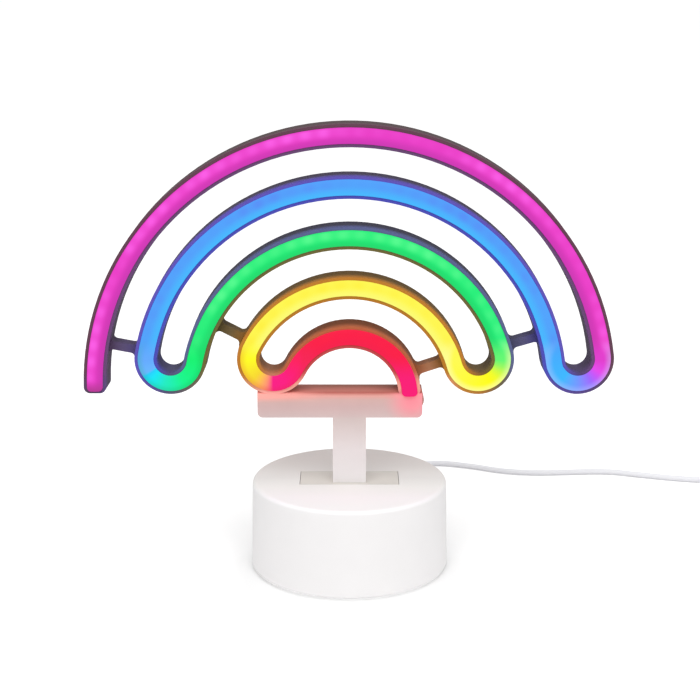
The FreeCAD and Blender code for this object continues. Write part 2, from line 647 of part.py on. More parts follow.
def make_base_shell():
    body = doc.addObject("PartDesign::Body", "shell")
    sketch = sketch_on(body, "shell_profile", "XZ_Plane")
    rebate = f"{PLATE_RADIUS} + plate_gap"
    outline(sketch, [
        (rebate, PLATE_LOW), ("base_radius", PLATE_LOW), ("base_radius - base_draft", "base_height"),
        ("0", "base_height"), ("0", "base_height - base_top"), (BASE_BORE, "base_height - base_top"),
        (BASE_BORE, PLATE_TOP), (rebate, PLATE_TOP),
    ])
    feature(body, "Revolution", "shell_turned", sketch, ReferenceAxis=(sketch, ["V_Axis"]), Angle="360")

    def rim(edge, level, radius):
        wide = edge.BoundBox.XLength > 2 * value(radius) - CLOSE
        return wide and near(edge.BoundBox.ZMin, level) and near(edge.BoundBox.ZMax, level)

    dress(body, "Fillet", "shell_top_edge", "base_round",
          lambda edge: rim(edge, "base_height", "base_radius - base_draft"))
    dress(body, "Fillet", "shell_low_edge", "base_edge", lambda edge: rim(edge, PLATE_LOW, "base_radius"))
    well_x, well_y = "foot_width / 2 + foot_gap", "foot_depth / 2 + foot_gap"
    well = box("well_block", (f"-({well_x} + well_wall)", f"{well_x} + well_wall"),
               (f"-({well_y} + well_wall)", f"{well_y} + well_wall"),
               (WELL_LOW, "base_height - base_top / 2"))
    bosses = [rod(f"shell_boss_{n}", "boss_radius", PLATE_TOP, "base_height - base_top / 2", spot)
              for n, spot in enumerate(BOSS_SPOTS)]
    pocket = box("well", (f"-({well_x})", well_x), (f"-({well_y})", well_y),
                 (FOOT_LOW, f"base_height + {OUT}"))
    wire_hole = box("well_hole", (f"-({STEM_BORE})", STEM_BORE), (CAVITY_FRONT, CAVITY_BACK),
                    (f"{WELL_LOW} - {OUT}", f"{FOOT_LOW} + {OUT}"))
    holes = [rod(f"shell_hole_{n}", SCREW_HOLE, f"{PLATE_TOP} - {OUT}",
                 f"{PLATE_TOP} + base_screw_length", spot) for n, spot in enumerate(BOSS_SPOTS)]
    holes += [rod(f"well_screw_hole_{n}", SCREW_HOLE, f"{WELL_LOW} - {OUT}", f"{FOOT_LOW} + {OUT}", spot)
              for n, spot in enumerate(FOOT_SPOTS)]
    window = box("switch_window", KNOB_SLOT_X, (BOARD_BACK, "base_radius"), KNOB_SLOT_Z)
    cord_hole = rod("cord_hole", "relief_neck + relief_gap", f"{BASE_BORE} - relief_flange",
                    "base_radius + base_edge", ("0", "cord_level"), "y")
    solid = fuse("shell_solid", body, well, *bosses)
    node("base_shell", cut("base_shell", solid, pocket, wire_hole, window, cord_hole, *holes))


BAY_X, BAY_Y = "base_radius * bay_length_share / 2", "base_radius * bay_width_share / 2"
DOOR_X, DOOR_Y = f"{BAY_X} + door_margin", f"{BAY_Y} + door_margin"
CONTACT_PITCH = "base_radius * contact_share"
DOOR_TOP = "base_lift + door_thickness"
BAY_TOP = f"{PLATE_TOP} + bay_height"
BOARD_TOP = "board_level + board_thickness"
KNOB_LEVEL = f"{BOARD_TOP} + switch_height / 2"
BOARD_LEFT = f"-({BOSS_PLACE} - boss_radius - boss_gap)"
BOARD_FRONT = f"{BAY_Y} + bay_wall + board_gap"
BOARD_BACK = f"{BOARD_FRONT} + board_depth"
SWITCH_PLACE = f"({BOARD_LEFT} - board_right) / 2"
KNOB_SLOT_X = (f"{SWITCH_PLACE} - (knob_width + knob_travel) / 2 - knob_gap",
               f"{SWITCH_PLACE} + (knob_width + knob_travel) / 2 + knob_gap")
KNOB_SLOT_Z = (f"{KNOB_LEVEL} - knob_height / 2 - knob_gap", f"{KNOB_LEVEL} + knob_height / 2 + knob_gap")
POST_SPOTS = ((f"{BOARD_LEFT} + post_inset", f"{BOARD_FRONT} + post_inset"),
              ("-board_right - post_inset", f"{BOARD_FRONT} + post_inset"))
CLAMP_BACK = "base_radius - clamp_inset"
CLAMP_Y = (f"{CLAMP_BACK} - clamp_depth", CLAMP_BACK)
CLAMP_SEAT = "cord_level - cord_diameter / 2"
CLAMP_SPOTS = tuple((f"{side}clamp_screw", f"{CLAMP_BACK} - clamp_depth / 2") for side in ("-", ""))
PAD_SPOTS = tuple((f"{side}(base_radius - pad_side_inset)", "0") for side in ("", "-"))
PAD_SPOTS += tuple(("0", f"{side}(base_radius - pad_end_inset)") for side in ("", "-"))
TAB_SPOTS = ("-tab_place", "tab_place")


def make_base_bottom():
    disc = rod("plate_disc", PLATE_RADIUS, PLATE_LOW, PLATE_TOP, ("0", "0"))
    walls = box("bay_block", (f"-({BAY_X} + bay_wall)", f"{BAY_X} + bay_wall"),
                (f"-({BAY_Y} + bay_wall)", f"{BAY_Y} + bay_wall"), (PLATE_LOW, f"{BAY_TOP} + bay_wall"))
    posts = [rod(f"board_post_{n}", "post_radius", PLATE_LOW, "board_level", spot)
             for n, spot in enumerate(POST_SPOTS)]
    block = box("clamp_block", ("-clamp_width / 2", "clamp_width / 2"), CLAMP_Y, (PLATE_LOW, CLAMP_SEAT))
    bay = box("bay", (f"-{BAY_X}", BAY_X), (f"-{BAY_Y}", BAY_Y), (f"{PLATE_LOW} - {OUT}", BAY_TOP))
    seat = box("door_seat", (f"-({DOOR_X})", DOOR_X), (f"-({DOOR_Y})", DOOR_Y),
               (f"{PLATE_LOW} - {OUT}", f"{DOOR_TOP} + screw_gap"))
    scoop = rod("door_scoop", "scoop_radius", f"{PLATE_LOW} - {OUT}", f"{PLATE_LOW} + scoop_depth",
                ("0", f"-({DOOR_Y})"))
    tools = [bay, seat, scoop]
    for number, x in enumerate(TAB_SPOTS):
        tools.append(box(f"tab_notch_{number}",
                         (f"{x} - tab_width / 2 - door_gap", f"{x} + tab_width / 2 + door_gap"),
                         (f"{BAY_Y} - {OUT}", f"{DOOR_Y} + tab_reach + 4 * door_gap"),
                         (f"{DOOR_TOP} + screw_gap", f"{PLATE_TOP} + door_thickness + tab_thickness")))
    for number, spot in enumerate(BOSS_SPOTS):
        tools.append(rod(f"plate_way_{number}", SCREW_HOLE, f"{PLATE_LOW} - {OUT}",
                         f"{PLATE_TOP} + {OUT}", spot))
        tools.append(rod(f"plate_sink_{number}", "screw_head + screw_gap", f"{PLATE_LOW} - {OUT}",
                         f"{PLATE_LOW} + screw_head_height", spot))
    for number, spot in enumerate(PAD_SPOTS):
        tools.append(rod(f"pad_recess_{number}", "pad_radius", f"{PLATE_LOW} - {OUT}",
                         f"{PLATE_LOW} + pad_recess", spot))
    for number, spot in enumerate(POST_SPOTS):
        tools.append(rod(f"post_hole_{number}", SCREW_HOLE, f"{BOARD_TOP} - screw_length",
                         f"board_level + {OUT}", spot))
    for number, spot in enumerate(CLAMP_SPOTS):
        tools.append(rod(f"clamp_hole_{number}", SCREW_HOLE, f"{CLAMP_SEAT} - screw_length",
                         f"{CLAMP_SEAT} + {OUT}", spot))
    node("base_bottom", cut("base_bottom", fuse("bottom_solid", disc, walls, *posts, block), *tools))
    screws("base_screws", "plate_thickness - screw_head_height + base_screw_length - screw_gap",
           [(x, y, f"{PLATE_LOW} + screw_head_height") for x, y in BOSS_SPOTS], (0, 0, 1))
    pads = [rod(f"pad_{n}", "pad_radius", "0", f"{PLATE_LOW} + pad_recess", spot)
            for n, spot in enumerate(PAD_SPOTS)]
    node("rubber_feet", group("rubber_feet", pads))
    screws("foot_screws", "screw_length", [(x, y, WELL_LOW) for x, y in FOOT_SPOTS], (0, 0, 1))


def make_battery_door():
    """Door in the base's bottom: two tabs at its back edge hold it, and a snap rib at its front."""
    x, y = f"{DOOR_X} - door_gap", f"{DOOR_Y} - door_gap"
    plate = box("door_plate", (f"-({x})", x), (f"-({y})", y), (PLATE_LOW, DOOR_TOP))
    rib = box("door_snap", ("-scoop_radius", "scoop_radius"), (f"-({DOOR_Y} - door_gap / 2)", f"-({y})"),
              (f"{PLATE_LOW} + door_thickness / 2", DOOR_TOP))
    stiffeners = [box(f"door_rib_{n}", (f"-{BAY_X} + 3 * door_margin", f"{BAY_X} - 3 * door_margin"),
                      (f"{line} - door_thickness / 2", f"{line} + door_thickness / 2"),
                      (DOOR_TOP, f"{DOOR_TOP} + door_thickness / 2"))
                  for n, line in enumerate((f"-{CONTACT_PITCH} / 2", f"{CONTACT_PITCH} / 2"))]
    tabs = []
    for number, place_x in enumerate(TAB_SPOTS):
        side = (f"{place_x} - tab_width / 2", f"{place_x} + tab_width / 2")
        lift = f"{DOOR_TOP} + 2 * screw_gap"
        tabs.append(box(f"tab_{number}", side, (f"{BAY_Y} - 2 * door_margin", f"{DOOR_Y} + tab_reach"),
                        (lift, f"{lift} + tab_thickness")))
        tabs.append(box(f"tab_neck_{number}", side, (f"{BAY_Y} - 2 * door_margin", f"{BAY_Y} - door_margin"),
                        (DOOR_TOP, lift)))
    node("battery_door", fuse("battery_door", plate, rib, *stiffeners, *tabs))


def make_contacts():
    """Bowed spring leaves at the bay's right end and plain plates with a tip at its left end."""
    springs, plates = [], []
    low, high = f"{BAY_TOP} - contact_height", BAY_TOP
    middle = f"{BAY_TOP} - contact_height / 2"
    for number in range(CONTACTS):
        line = f"({number} - {(CONTACTS - 1) / 2}) * {CONTACT_PITCH}"
        side = (f"{line} - contact_width / 2", f"{line} + contact_width / 2")
        face = f"{BAY_X} - contact_thickness"
        back = box(f"spring_back_{number}", (face, BAY_X), side, (low, high))
        bow_radius = "(contact_height ^ 2 / 16 + spring_rise ^ 2) / (2 * spring_rise)"
        leaf_side = (f"{line} - contact_width / 4", f"{line} + contact_width / 4")
        spot = (f"{face} - spring_rise + {bow_radius}", middle)
        outer = rod(f"leaf_outer_{number}", bow_radius, *leaf_side, spot, "y")
        inner = rod(f"leaf_inner_{number}", f"{bow_radius} - contact_thickness", *leaf_side, spot, "y")
        zone = box(f"leaf_zone_{number}", (f"{face} - 2 * spring_rise", face), leaf_side, (low, high))
        leaf = common(f"leaf_{number}", cut(f"leaf_ring_{number}", outer, inner), zone)
        springs.append(fuse(f"spring_{number}", back, leaf))
        plate = box(f"plate_{number}", (f"-{BAY_X}", f"-{BAY_X} + contact_thickness"), side, (low, high))
        tip = rod(f"plate_tip_{number}", "contact_width / 4", f"-{BAY_X} + contact_thickness",
                  f"-{BAY_X} + 2 * contact_thickness", (line, middle), "x")
        plates.append(fuse(f"contact_{number}", plate, tip))
    node("battery_springs", group("battery_springs", springs))
    node("battery_plates", group("battery_plates", plates))


def make_board():
    board = box("board", (BOARD_LEFT, "-board_right"), (BOARD_FRONT, BOARD_BACK), ("board_level", BOARD_TOP))
    holes = [rod(f"board_hole_{n}", SCREW_HOLE, f"board_level - {OUT}", f"{BOARD_TOP} + {OUT}", spot)
             for n, spot in enumerate(POST_SPOTS)]
    node("control_board", cut("control_board", board, *holes))
    screws("board_screws", "screw_length - screw_gap", [(x, y, BOARD_TOP) for x, y in POST_SPOTS], (0, 0, -1))
    chip_y = f"{BOARD_FRONT} + post_inset"
    choke_x, choke_y = f"{BOARD_LEFT} + part_margin", f"{BOARD_BACK} - part_margin"
    blocks = [
        box("driver_chip", (f"{SWITCH_PLACE} - chip_side / 2", f"{SWITCH_PLACE} + chip_side / 2"),
            (f"{chip_y} - chip_side / 2", f"{chip_y} + chip_side / 2"),
            (BOARD_TOP, f"{BOARD_TOP} + chip_height")),
        box("choke", (choke_x, f"{choke_x} + choke_width"), (f"{choke_y} - choke_depth", choke_y),
            (BOARD_TOP, f"{BOARD_TOP} + choke_height")),
    ]
    for number in range(2):
        far = f"{BOARD_BACK} - part_margin - {number} * resistor_pitch"
        blocks.append(box(f"resistor_{number}", ("-board_right - part_margin - resistor_length",
                                                 "-board_right - part_margin"),
                          (f"{far} - resistor_width", far), (BOARD_TOP, f"{BOARD_TOP} + resistor_height")))
    node("board_parts", group("board_parts", blocks))


def make_switch():
    """Slide switch on the board's back edge; its knob reaches out through the base's back."""
    back = BOARD_BACK
    reach = "base_radius - knob_inset"
    case = box("switch_case", (f"{SWITCH_PLACE} - switch_width / 2", f"{SWITCH_PLACE} + switch_width / 2"),
               (f"{back} - switch_depth", back), (BOARD_TOP, f"{BOARD_TOP} + switch_height"))
    slot = box("switch_slot", KNOB_SLOT_X, (f"{back} - knob_seat - knob_gap", f"{back} + {OUT}"), KNOB_SLOT_Z)
    node("switch_body", cut("switch_body", case, slot))
    left = f"{SWITCH_PLACE} - knob_width / 2 + knob_travel / 2"
    height = (f"{KNOB_LEVEL} - knob_height / 2", f"{KNOB_LEVEL} + knob_height / 2")
    stem = box("knob_stem", (left, f"{left} + knob_width"), (f"{back} - knob_seat", reach), height)
    grooves = []
    for number in range(KNOB_GROOVES):
        line = f"{left} + knob_width * {number + 1} / {KNOB_GROOVES + 1}"
        grooves.append(box(f"knob_groove_{number}", (f"{line} - knob_gap / 2", f"{line} + knob_gap / 2"),
                           (f"{reach} - knob_gap", f"{reach} + {OUT}"), height))
    node("switch_knob", cut("switch_knob", stem, *grooves))


# Cord, wires and their fittings

def route(points):
    """Straight runs joined by tangent arcs as large as each pair of runs allows, and the arcs' radii."""
    spots = [Vector(*point) for point in points]
    edges, radii, at = [], [], spots[0]
    for before, corner, after in zip(spots, spots[1:], spots[2:]):
        into, out = corner - before, after - corner
        half_turn = into.getAngle(out) / 2
        if half_turn < 1e-6:
            continue
        setback = ARC_SHARE * min(into.Length, out.Length)
        radius = setback / math.tan(half_turn)
        into.normalize()
        out.normalize()
        inward = (out - into).normalize()
        start, end = corner - into * setback, corner + out * setback
        middle = corner + inward * (radius / math.cos(half_turn) - radius)
        edges += [Part.LineSegment(at, start).toShape(), Part.Arc(start, middle, end).toShape()]
        radii.append(round(radius, 1))
        at = end
    edges.append(Part.LineSegment(at, spots[-1]).toShape())
    return Part.Wire(edges), radii


def tube(name, path, diameter):
    """Round tube along a path, checked against its section times its length."""
    first = path.Edges[0]
    start = first.valueAt(first.FirstParameter)
    ring = Part.Wire(Part.Circle(start, first.tangentAt(first.FirstParameter), diameter / 2).toShape())
    solid = path.makePipeShell([ring], True, False)
    plain = math.pi * diameter**2 / 4 * path.Length
    print(f"{name}: length {path.Length:.1f}, volume {solid.Volume:.1f}, section times length {plain:.1f}")
    return solid


def biarc(start, heading, end, end_heading):
    """Two arcs that leave start along heading and reach end along end_heading."""
    span = end - start
    both = heading + end_heading
    spread = 2 * (1 - heading.dot(end_heading))
    reach = (-span.dot(both) + math.sqrt(span.dot(both) ** 2 + spread * span.dot(span))) / spread
    joint = (start + end + (heading - end_heading) * reach) / 2
    arcs = []
    for point, tangent, far in ((start, heading, joint), (joint, None, end)):
        if tangent is None:
            chord = (joint - start).normalize()
            tangent = chord * (2 * heading.dot(chord)) - heading
        chord = far - point
        aside = (tangent - chord * (tangent.dot(chord) / chord.dot(chord))).normalize()
        bulge = chord.Length / 2 * math.tan(tangent.getAngle(chord) / 2)
        arcs.append(Part.Arc(point, point + chord / 2 + aside * bulge, far).toShape())
    return arcs


RELIEF_END = "base_radius + relief_length"
RELIEF_SEAT = f"sqrt(({BASE_BORE}) ^ 2 - relief_flange ^ 2) - relief_gap"
TAIL_END = f"{BAY_Y} + bay_wall + tail_gap"
RELIEF_FACE = f"{RELIEF_SEAT} - relief_flange_thickness"
LEAD_LEVEL = value("cord_diameter / 2")
COIL_LEVEL = value("tie_thickness + tie_gap + cord_diameter / 2")
COIL_OUTER = value(f"coil_diameter / 2 + {COIL_TURNS} * turn_pitch / 2")
COIL_Y = value("coil_top") - COIL_OUTER
# Lead's route, chosen by hand: down behind the base, then over the table to the coil
LEAD_DROP = ((1.5, 93.0, 10.5), (6.0, 107.0, 6.2), (14.0, 121.0, 3.0))
LEAD_ON_TABLE = (
    (26.0, 134.0), (39.0, 144.5), (53.4, 150.2), (73.7, 143.7), (91.1, 134.4), (108.8, 130.8),
    (127.0, 131.7), (154.4, 134.4), (174.1, 127.2), (196.6, 120.1), (213.0, 118.0),
)


def make_strain_relief():
    """Moulded sleeve: a flange each side of the wall and a ribbed taper outside."""
    body = doc.addObject("PartDesign::Body", "relief")
    sketch = sketch_on(body, "relief_profile", "XY_Plane")
    wall_out = "base_radius + relief_gap"
    flange_end = f"{wall_out} + relief_flange_thickness"
    corners = [("0", RELIEF_FACE), ("relief_flange", RELIEF_FACE), ("relief_flange", RELIEF_SEAT),
               ("relief_neck", RELIEF_SEAT), ("relief_neck", wall_out),
               ("relief_flange", wall_out), ("relief_flange", flange_end)]
    steps = 2 * RELIEF_RINGS
    step = f"(({RELIEF_END}) - ({flange_end})) / {steps}"
    for number in range(steps):
        taper = f"relief_root - (relief_root - relief_tip) * {number} / {steps - 1}"
        radius = taper if number % 2 else f"{taper} - relief_groove"
        corners.append((radius, f"{flange_end} + {number} * {step}"))
        corners.append((radius, f"{flange_end} + {number + 1} * {step}"))
    corners.append(("0", RELIEF_END))
    outline(sketch, corners)
    feature(body, "Revolution", "relief_turned", sketch, ReferenceAxis=(sketch, ["V_Axis"]), Angle="360")
    body.Placement = Placement(Vector(0, 0, value("cord_level")), Rotation())
    bind(body, "Placement.Base.z", "cord_level")
    node("strain_relief", body)


def make_cord():
    """Lead from the base to the coil, the coil itself, its tie and the plug."""
    diameter, level, end_y = value("cord_diameter"), value("cord_level"), value(RELIEF_END)
    coil_x = value("coil_x")
    coil_top = value("coil_top")
    points = [(0, end_y, level), (0, end_y + value("lead_straight"), level), *LEAD_DROP]
    points += [(x, y, LEAD_LEVEL) for x, y in LEAD_ON_TABLE]
    points += [(coil_x - value("coil_entry"), coil_top, COIL_LEVEL), (coil_x, coil_top, COIL_LEVEL)]
    path, radii = route(points)
    print("cord_lead radii", radii)
    node("cord_lead", fixed("cord_lead", tube("cord_lead", path, diameter)))

    pitch, upper = value("turn_pitch"), COIL_LEVEL + value("layer_pitch")
    inner = COIL_OUTER - COIL_TURNS * pitch
    east, west, south = Vector(1, 0, 0), Vector(-1, 0, 0), Vector(0, -1, 0)
    reverse = inner - value("reverse_step")
    radii_in = [COIL_OUTER - pitch / 2 * half for half in range(2 * COIL_TURNS)] + [reverse]
    radii_out = [reverse] + [inner + pitch / 2 * half for half in range(1, 2 * COIL_TURNS)]
    stations = []
    for number, radius in enumerate(radii_in + radii_out):
        top = number % 2 == 0
        height = COIL_LEVEL if number < len(radii_in) else upper
        spot = Vector(coil_x, COIL_Y + (radius if top else -radius), height)
        stations.append((spot, east if top else west))
    plug_x = coil_x + value("plug_offset")
    plug_level = value("grip_height / 2")
    flare = Vector(coil_x + value("flare_x"), COIL_Y + value("flare_y"), upper)
    stations.append((flare, (east + south).normalize()))
    stations.append((Vector(plug_x, COIL_Y - value("plug_drop"), plug_level), south))
    edges = []
    for (start, heading), (end, end_heading) in zip(stations, stations[1:]):
        edges += biarc(start, heading, end, end_heading)
    plug_y = COIL_Y - value("plug_drop + plug_straight")
    edges.append(Part.LineSegment(stations[-1][0], Vector(plug_x, plug_y, plug_level)).toShape())
    coil_path = Part.Wire(edges)
    node("cord_coil", fixed("cord_coil", tube("cord_coil", coil_path, diameter)))
    print(f"cord_coil: least gap to itself {self_gap(coil_path, diameter):.2f}")
    print(f"cord in all: {path.Length + coil_path.Length:.0f}")

    reach_out = COIL_OUTER - pitch / 2 + diameter / 2
    reach_in = reverse - diameter / 2
    gap, thick, wide = value("tie_gap"), value("tie_thickness"), value("tie_width")
    deep, high = reach_out - reach_in + 2 * gap, upper - COIL_LEVEL + diameter + 2 * gap
    corner = Vector(coil_x - wide / 2, COIL_Y - reach_out - gap - thick, 0)
    outside = Part.makeBox(wide, deep + 2 * thick, high + 2 * thick, corner)
    inside = Part.makeBox(wide, deep, high, corner + Vector(0, thick, thick))
    node("cord_tie", fixed("cord_tie", outside.cut(inside)))
    make_plug(plug_x, plug_y, plug_level)


def self_gap(path, diameter):
    """Least clear distance between stretches of the tube that aren't neighbours along it."""
    per_diameter = 4
    count = int(path.Length / diameter * per_diameter)
    spots = path.discretize(count)
    skip = 5 * per_diameter // 2
    least = min(spots[i].distanceToPoint(spots[j]) for i in range(count) for j in range(i + skip, count))
    return least - diameter


def make_plug(x, y, level):
    """Supply plug: rounded grip, folded metal shell and the tongue inside it."""
    def block(name, wide, deep, high, lift="0"):
        piece = doc.addObject("Part::Box", name)
        bind(piece, "Length", wide)
        bind(piece, "Width", deep)
        bind(piece, "Height", high)
        piece.Placement.Base = Vector(x - value(wide) / 2, 0, level - value(high) / 2 + value(lift))
        return piece

    grip = block("grip_block", "grip_width", "grip_length", "grip_height")
    grip.Placement.Base.y = y - value("grip_length")
    doc.recompute()
    rounded = doc.addObject("Part::Fillet", "plug_grip")
    rounded.Base = grip
    rounded.Edges = [(n, value("grip_round"), value("grip_round"))
                     for n, edge in enumerate(grip.Shape.Edges, start=1) if edge.BoundBox.YLength > 1]
    node("plug_grip", rounded)
    face = y - value("grip_length")
    shell = block("shell_block", "plug_width", "plug_length", "plug_height")
    bore = block("shell_bore", "plug_width - 2 * plug_wall", f"plug_length + {OUT}",
                 "plug_height - 2 * plug_wall")
    tongue = block("plug_tongue", "tongue_width", "tongue_length", "tongue_height",
                   "plug_wall + tongue_height / 2 - plug_height / 2 + screw_gap")
    shell.Placement.Base.y = face - value("plug_length")
    bore.Placement.Base.y = face - value("plug_length") - OUT
    tongue.Placement.Base.y = face - value("tongue_length")
    node("plug_shell", cut("plug_shell", shell, bore))
    node("plug_tongue", tongue)


# Supply wires: sideways spread at the cord's end, inset from the board's back edge, and extra lift
SUPPLY_WIRES = ((-0.7, 4.7, 0.0), (0.7, 2.3, 1.6))
# Feed wires: side of the stem, inset from the board's back edge, share of the strip's width, and their
# bends on the way to the stem as shares of the way along and of the height between bay and well
FEED_WIRES = {
    "feed_wire_positive": (-1, 6.36, 0.7, ((0.13, 0.16), (0.5, 0.48), (0.93, 0.69))),
    "feed_wire_negative": (1, 4.56, 0.34, ((0.14, 0.34), (0.52, 0.64), (0.95, 0.71))),
}


def make_inner_cord():
    """Cord's end in the base, its clamp, and the wires to the board and on to the lights."""
    node("cord_tail", rod("cord_tail", "cord_diameter / 2", TAIL_END, RELIEF_FACE, ("0", "cord_level"), "y"))
    cap_top = "cord_level + cord_diameter / 2 + clamp_cap"
    cap = box("clamp_cap_block", ("-clamp_width / 2", "clamp_width / 2"), CLAMP_Y, (CLAMP_SEAT, cap_top))
    through = (f"{CLAMP_Y[0]} - {OUT}", f"{CLAMP_Y[1]} + {OUT}")
    groove = rod("clamp_groove", "cord_diameter / 2 + relief_gap", *through, ("0", "cord_level"), "y")
    floor_cut = box("clamp_floor", ("-cord_diameter / 2 - relief_gap", "cord_diameter / 2 + relief_gap"),
                    through, (f"{CLAMP_SEAT} - {OUT}", "cord_level"))
    ways = [rod(f"clamp_way_{n}", SCREW_HOLE, f"{CLAMP_SEAT} - {OUT}", f"{cap_top} + {OUT}", spot)
            for n, spot in enumerate(CLAMP_SPOTS)]
    node("cord_clamp", cut("cord_clamp", cap, groove, floor_cut, *ways))
    screws("clamp_screws", "screw_length", [(x, y, cap_top) for x, y in CLAMP_SPOTS], (0, 0, -1))

    board, back, thin = value(BOARD_TOP), value(BOARD_BACK), value("supply_diameter")
    level, tail = value("cord_level"), value(TAIL_END)
    side = value("-board_right - part_margin - resistor_length / 2")
    supply = []
    for number, (spread, inset, lift) in enumerate(SUPPLY_WIRES):
        deep = tail - value("supply_dip") - lift
        high = level + value("supply_lift") + lift
        wire, _ = route([
            (spread, tail - value("link_gap"), level), (spread, deep, level + lift / 2),
            (-value("supply_turn"), deep - value("supply_sag"), level + lift),
            (side, deep + value("supply_return"), high),
            (side, back - inset, high), (side, back - inset, board),
        ])
        supply.append(fixed(f"supply_{number}", tube("supply_wire", wire, thin)))
    node("supply_wires", group("supply_wires", supply))

    thick = value("wire_diameter")
    red_x = value(f"{arc_radius(len(COLOURS) - 1)} - lamp_slot / 2 + strip_gap + wire_diameter / 2")
    red_z = HEIGHTS[-1] - value("link_gap")
    bar_z = value("bar_top - stand_wall - 3 * wire_diameter / 2")
    start_x = value(f"{BOARD_LEFT} + 3 * wire_diameter / 2")
    roof, well = value(f"{BAY_TOP} + bay_wall"), value(WELL_LOW)
    in_stem = value(f"{STEM_BORE} - wire_inset")
    for name, (side, inset, share, bends) in FEED_WIRES.items():
        x, depth = side * in_stem, value(f"{SLOT_FLOOR} - {share} * strip_width")
        start = Vector(start_x, back - inset, board)
        hole = Vector(x, depth, value(f"{FOOT_LOW} + well_wall"))
        over = [start + (hole - start) * along for along, _ in bends]
        points = [tuple(start), (start.x, start.y, board + value("wire_rise"))]
        points += [(spot.x, spot.y, roof + (well - roof) * up) for spot, (_, up) in zip(over, bends)]
        points += [tuple(hole), (x, depth, value("bar_bottom")), (x, depth, bar_z),
                   (x + value("stem_width / 2"), depth, bar_z), (red_x, depth, bar_z), (red_x, depth, red_z)]
        wire, _ = route(points)
        node(name, fixed(name, tube(name, wire, thick)))


make_sign_housing()
make_diffusers()
make_lights()
make_links()
make_back_cover()
make_base_shell()
make_base_bottom()
make_battery_door()
make_contacts()
make_board()
make_switch()
make_strain_relief()
make_inner_cord()
make_cord()
doc.recompute()

for thing in doc.Objects:
    if {"Invalid", "Error"} & set(thing.State):
        raise RuntimeError(f"{thing.Label} failed: {thing.State}")
for name, thing in nodes.items():
    if thing.Shape.isNull() or not thing.Shape.isValid() or not thing.Shape.Solids:
        raise RuntimeError(f"{name} has no valid solid")
os.makedirs("parts", exist_ok=True)
for name, thing in nodes.items():
    thing.Shape.exportStep(f"parts/{name}.step")
    print(f"{name}: {len(thing.Shape.Solids)} solids, volume {thing.Shape.Volume:.1f}")
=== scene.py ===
"""Looks of the rainbow desk light: camera, lead, finishes and the small pieces that the solids leave plain.

Everything is in metres in the model's own frame: +Z up, +X to the viewer's right, +Y to the back.
"""

from __future__ import annotations

import json
import logging
import math
from dataclasses import dataclass, field
from enum import Enum

import bpy
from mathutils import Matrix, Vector

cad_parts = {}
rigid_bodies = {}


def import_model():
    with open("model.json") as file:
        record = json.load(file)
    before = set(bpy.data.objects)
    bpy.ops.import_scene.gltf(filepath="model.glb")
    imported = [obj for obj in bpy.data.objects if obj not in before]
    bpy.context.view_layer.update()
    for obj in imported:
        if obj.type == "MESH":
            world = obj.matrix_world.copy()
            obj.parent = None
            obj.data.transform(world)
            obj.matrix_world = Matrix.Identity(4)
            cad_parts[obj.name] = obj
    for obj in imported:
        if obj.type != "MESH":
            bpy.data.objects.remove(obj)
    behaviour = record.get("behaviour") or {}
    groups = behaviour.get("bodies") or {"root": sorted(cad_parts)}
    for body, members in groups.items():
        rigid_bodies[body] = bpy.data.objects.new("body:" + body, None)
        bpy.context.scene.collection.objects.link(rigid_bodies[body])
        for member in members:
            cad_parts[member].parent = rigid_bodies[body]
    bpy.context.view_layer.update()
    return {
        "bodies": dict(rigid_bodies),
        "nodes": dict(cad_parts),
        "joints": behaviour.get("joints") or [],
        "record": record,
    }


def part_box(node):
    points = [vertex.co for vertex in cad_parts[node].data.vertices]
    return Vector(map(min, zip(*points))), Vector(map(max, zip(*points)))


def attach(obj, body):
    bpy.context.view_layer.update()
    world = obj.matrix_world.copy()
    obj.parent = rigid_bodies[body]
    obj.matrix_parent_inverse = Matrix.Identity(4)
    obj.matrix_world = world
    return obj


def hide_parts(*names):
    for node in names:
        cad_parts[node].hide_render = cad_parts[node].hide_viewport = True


LOG = logging.getLogger("rainbow_light")
MM = 0.001
Colour = tuple[float, float, float]
Point = tuple[float, float, float]
Pair = tuple[float, float]
Stops = dict[float, Colour]
Socket = bpy.types.NodeSocket
Value = float | Colour | Socket
Material = bpy.types.Material
Piece = bpy.types.Object


class Body(Enum):
    """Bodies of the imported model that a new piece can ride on."""

    LIGHT = "light"
    DOOR = "door"


class Slot(Enum):
    """Material slots of the record, by name."""

    CORD = "cord_white"
    FEET = "foot_rubber"
    BASE = "base_plastic"


class Effect(Enum):
    """Node groups that several finishes share."""

    GRAIN = "moulded_grain"
    LAMP_ROW = "lamp_row"
    TURN = "turn_place"


class Arc(Enum):
    """Arcs of the rainbow, from the outermost one in."""

    VIOLET = 0
    BLUE = 1
    GREEN = 2
    YELLOW = 3
    RED = 4

    @property
    def word(self) -> str:
        """Lower-case name, as the nodes use it."""
        return self.name.lower()


def linear(red: int, green: int, blue: int) -> Colour:
    """Turn a display colour into linear light.

    Args:
        red: Red from 0 to 255.
        green: Green from 0 to 255.
        blue: Blue from 0 to 255.

    Returns:
        The three linear values, from 0 to 1.
    """

    def channel(level: int) -> float:
        """Linear light of one channel, by the usual display curve."""
        share = level / 255
        return share / 12.92 if share <= 0.04045 else ((share + 0.055) / 1.055) ** 2.4

    return channel(red), channel(green), channel(blue)


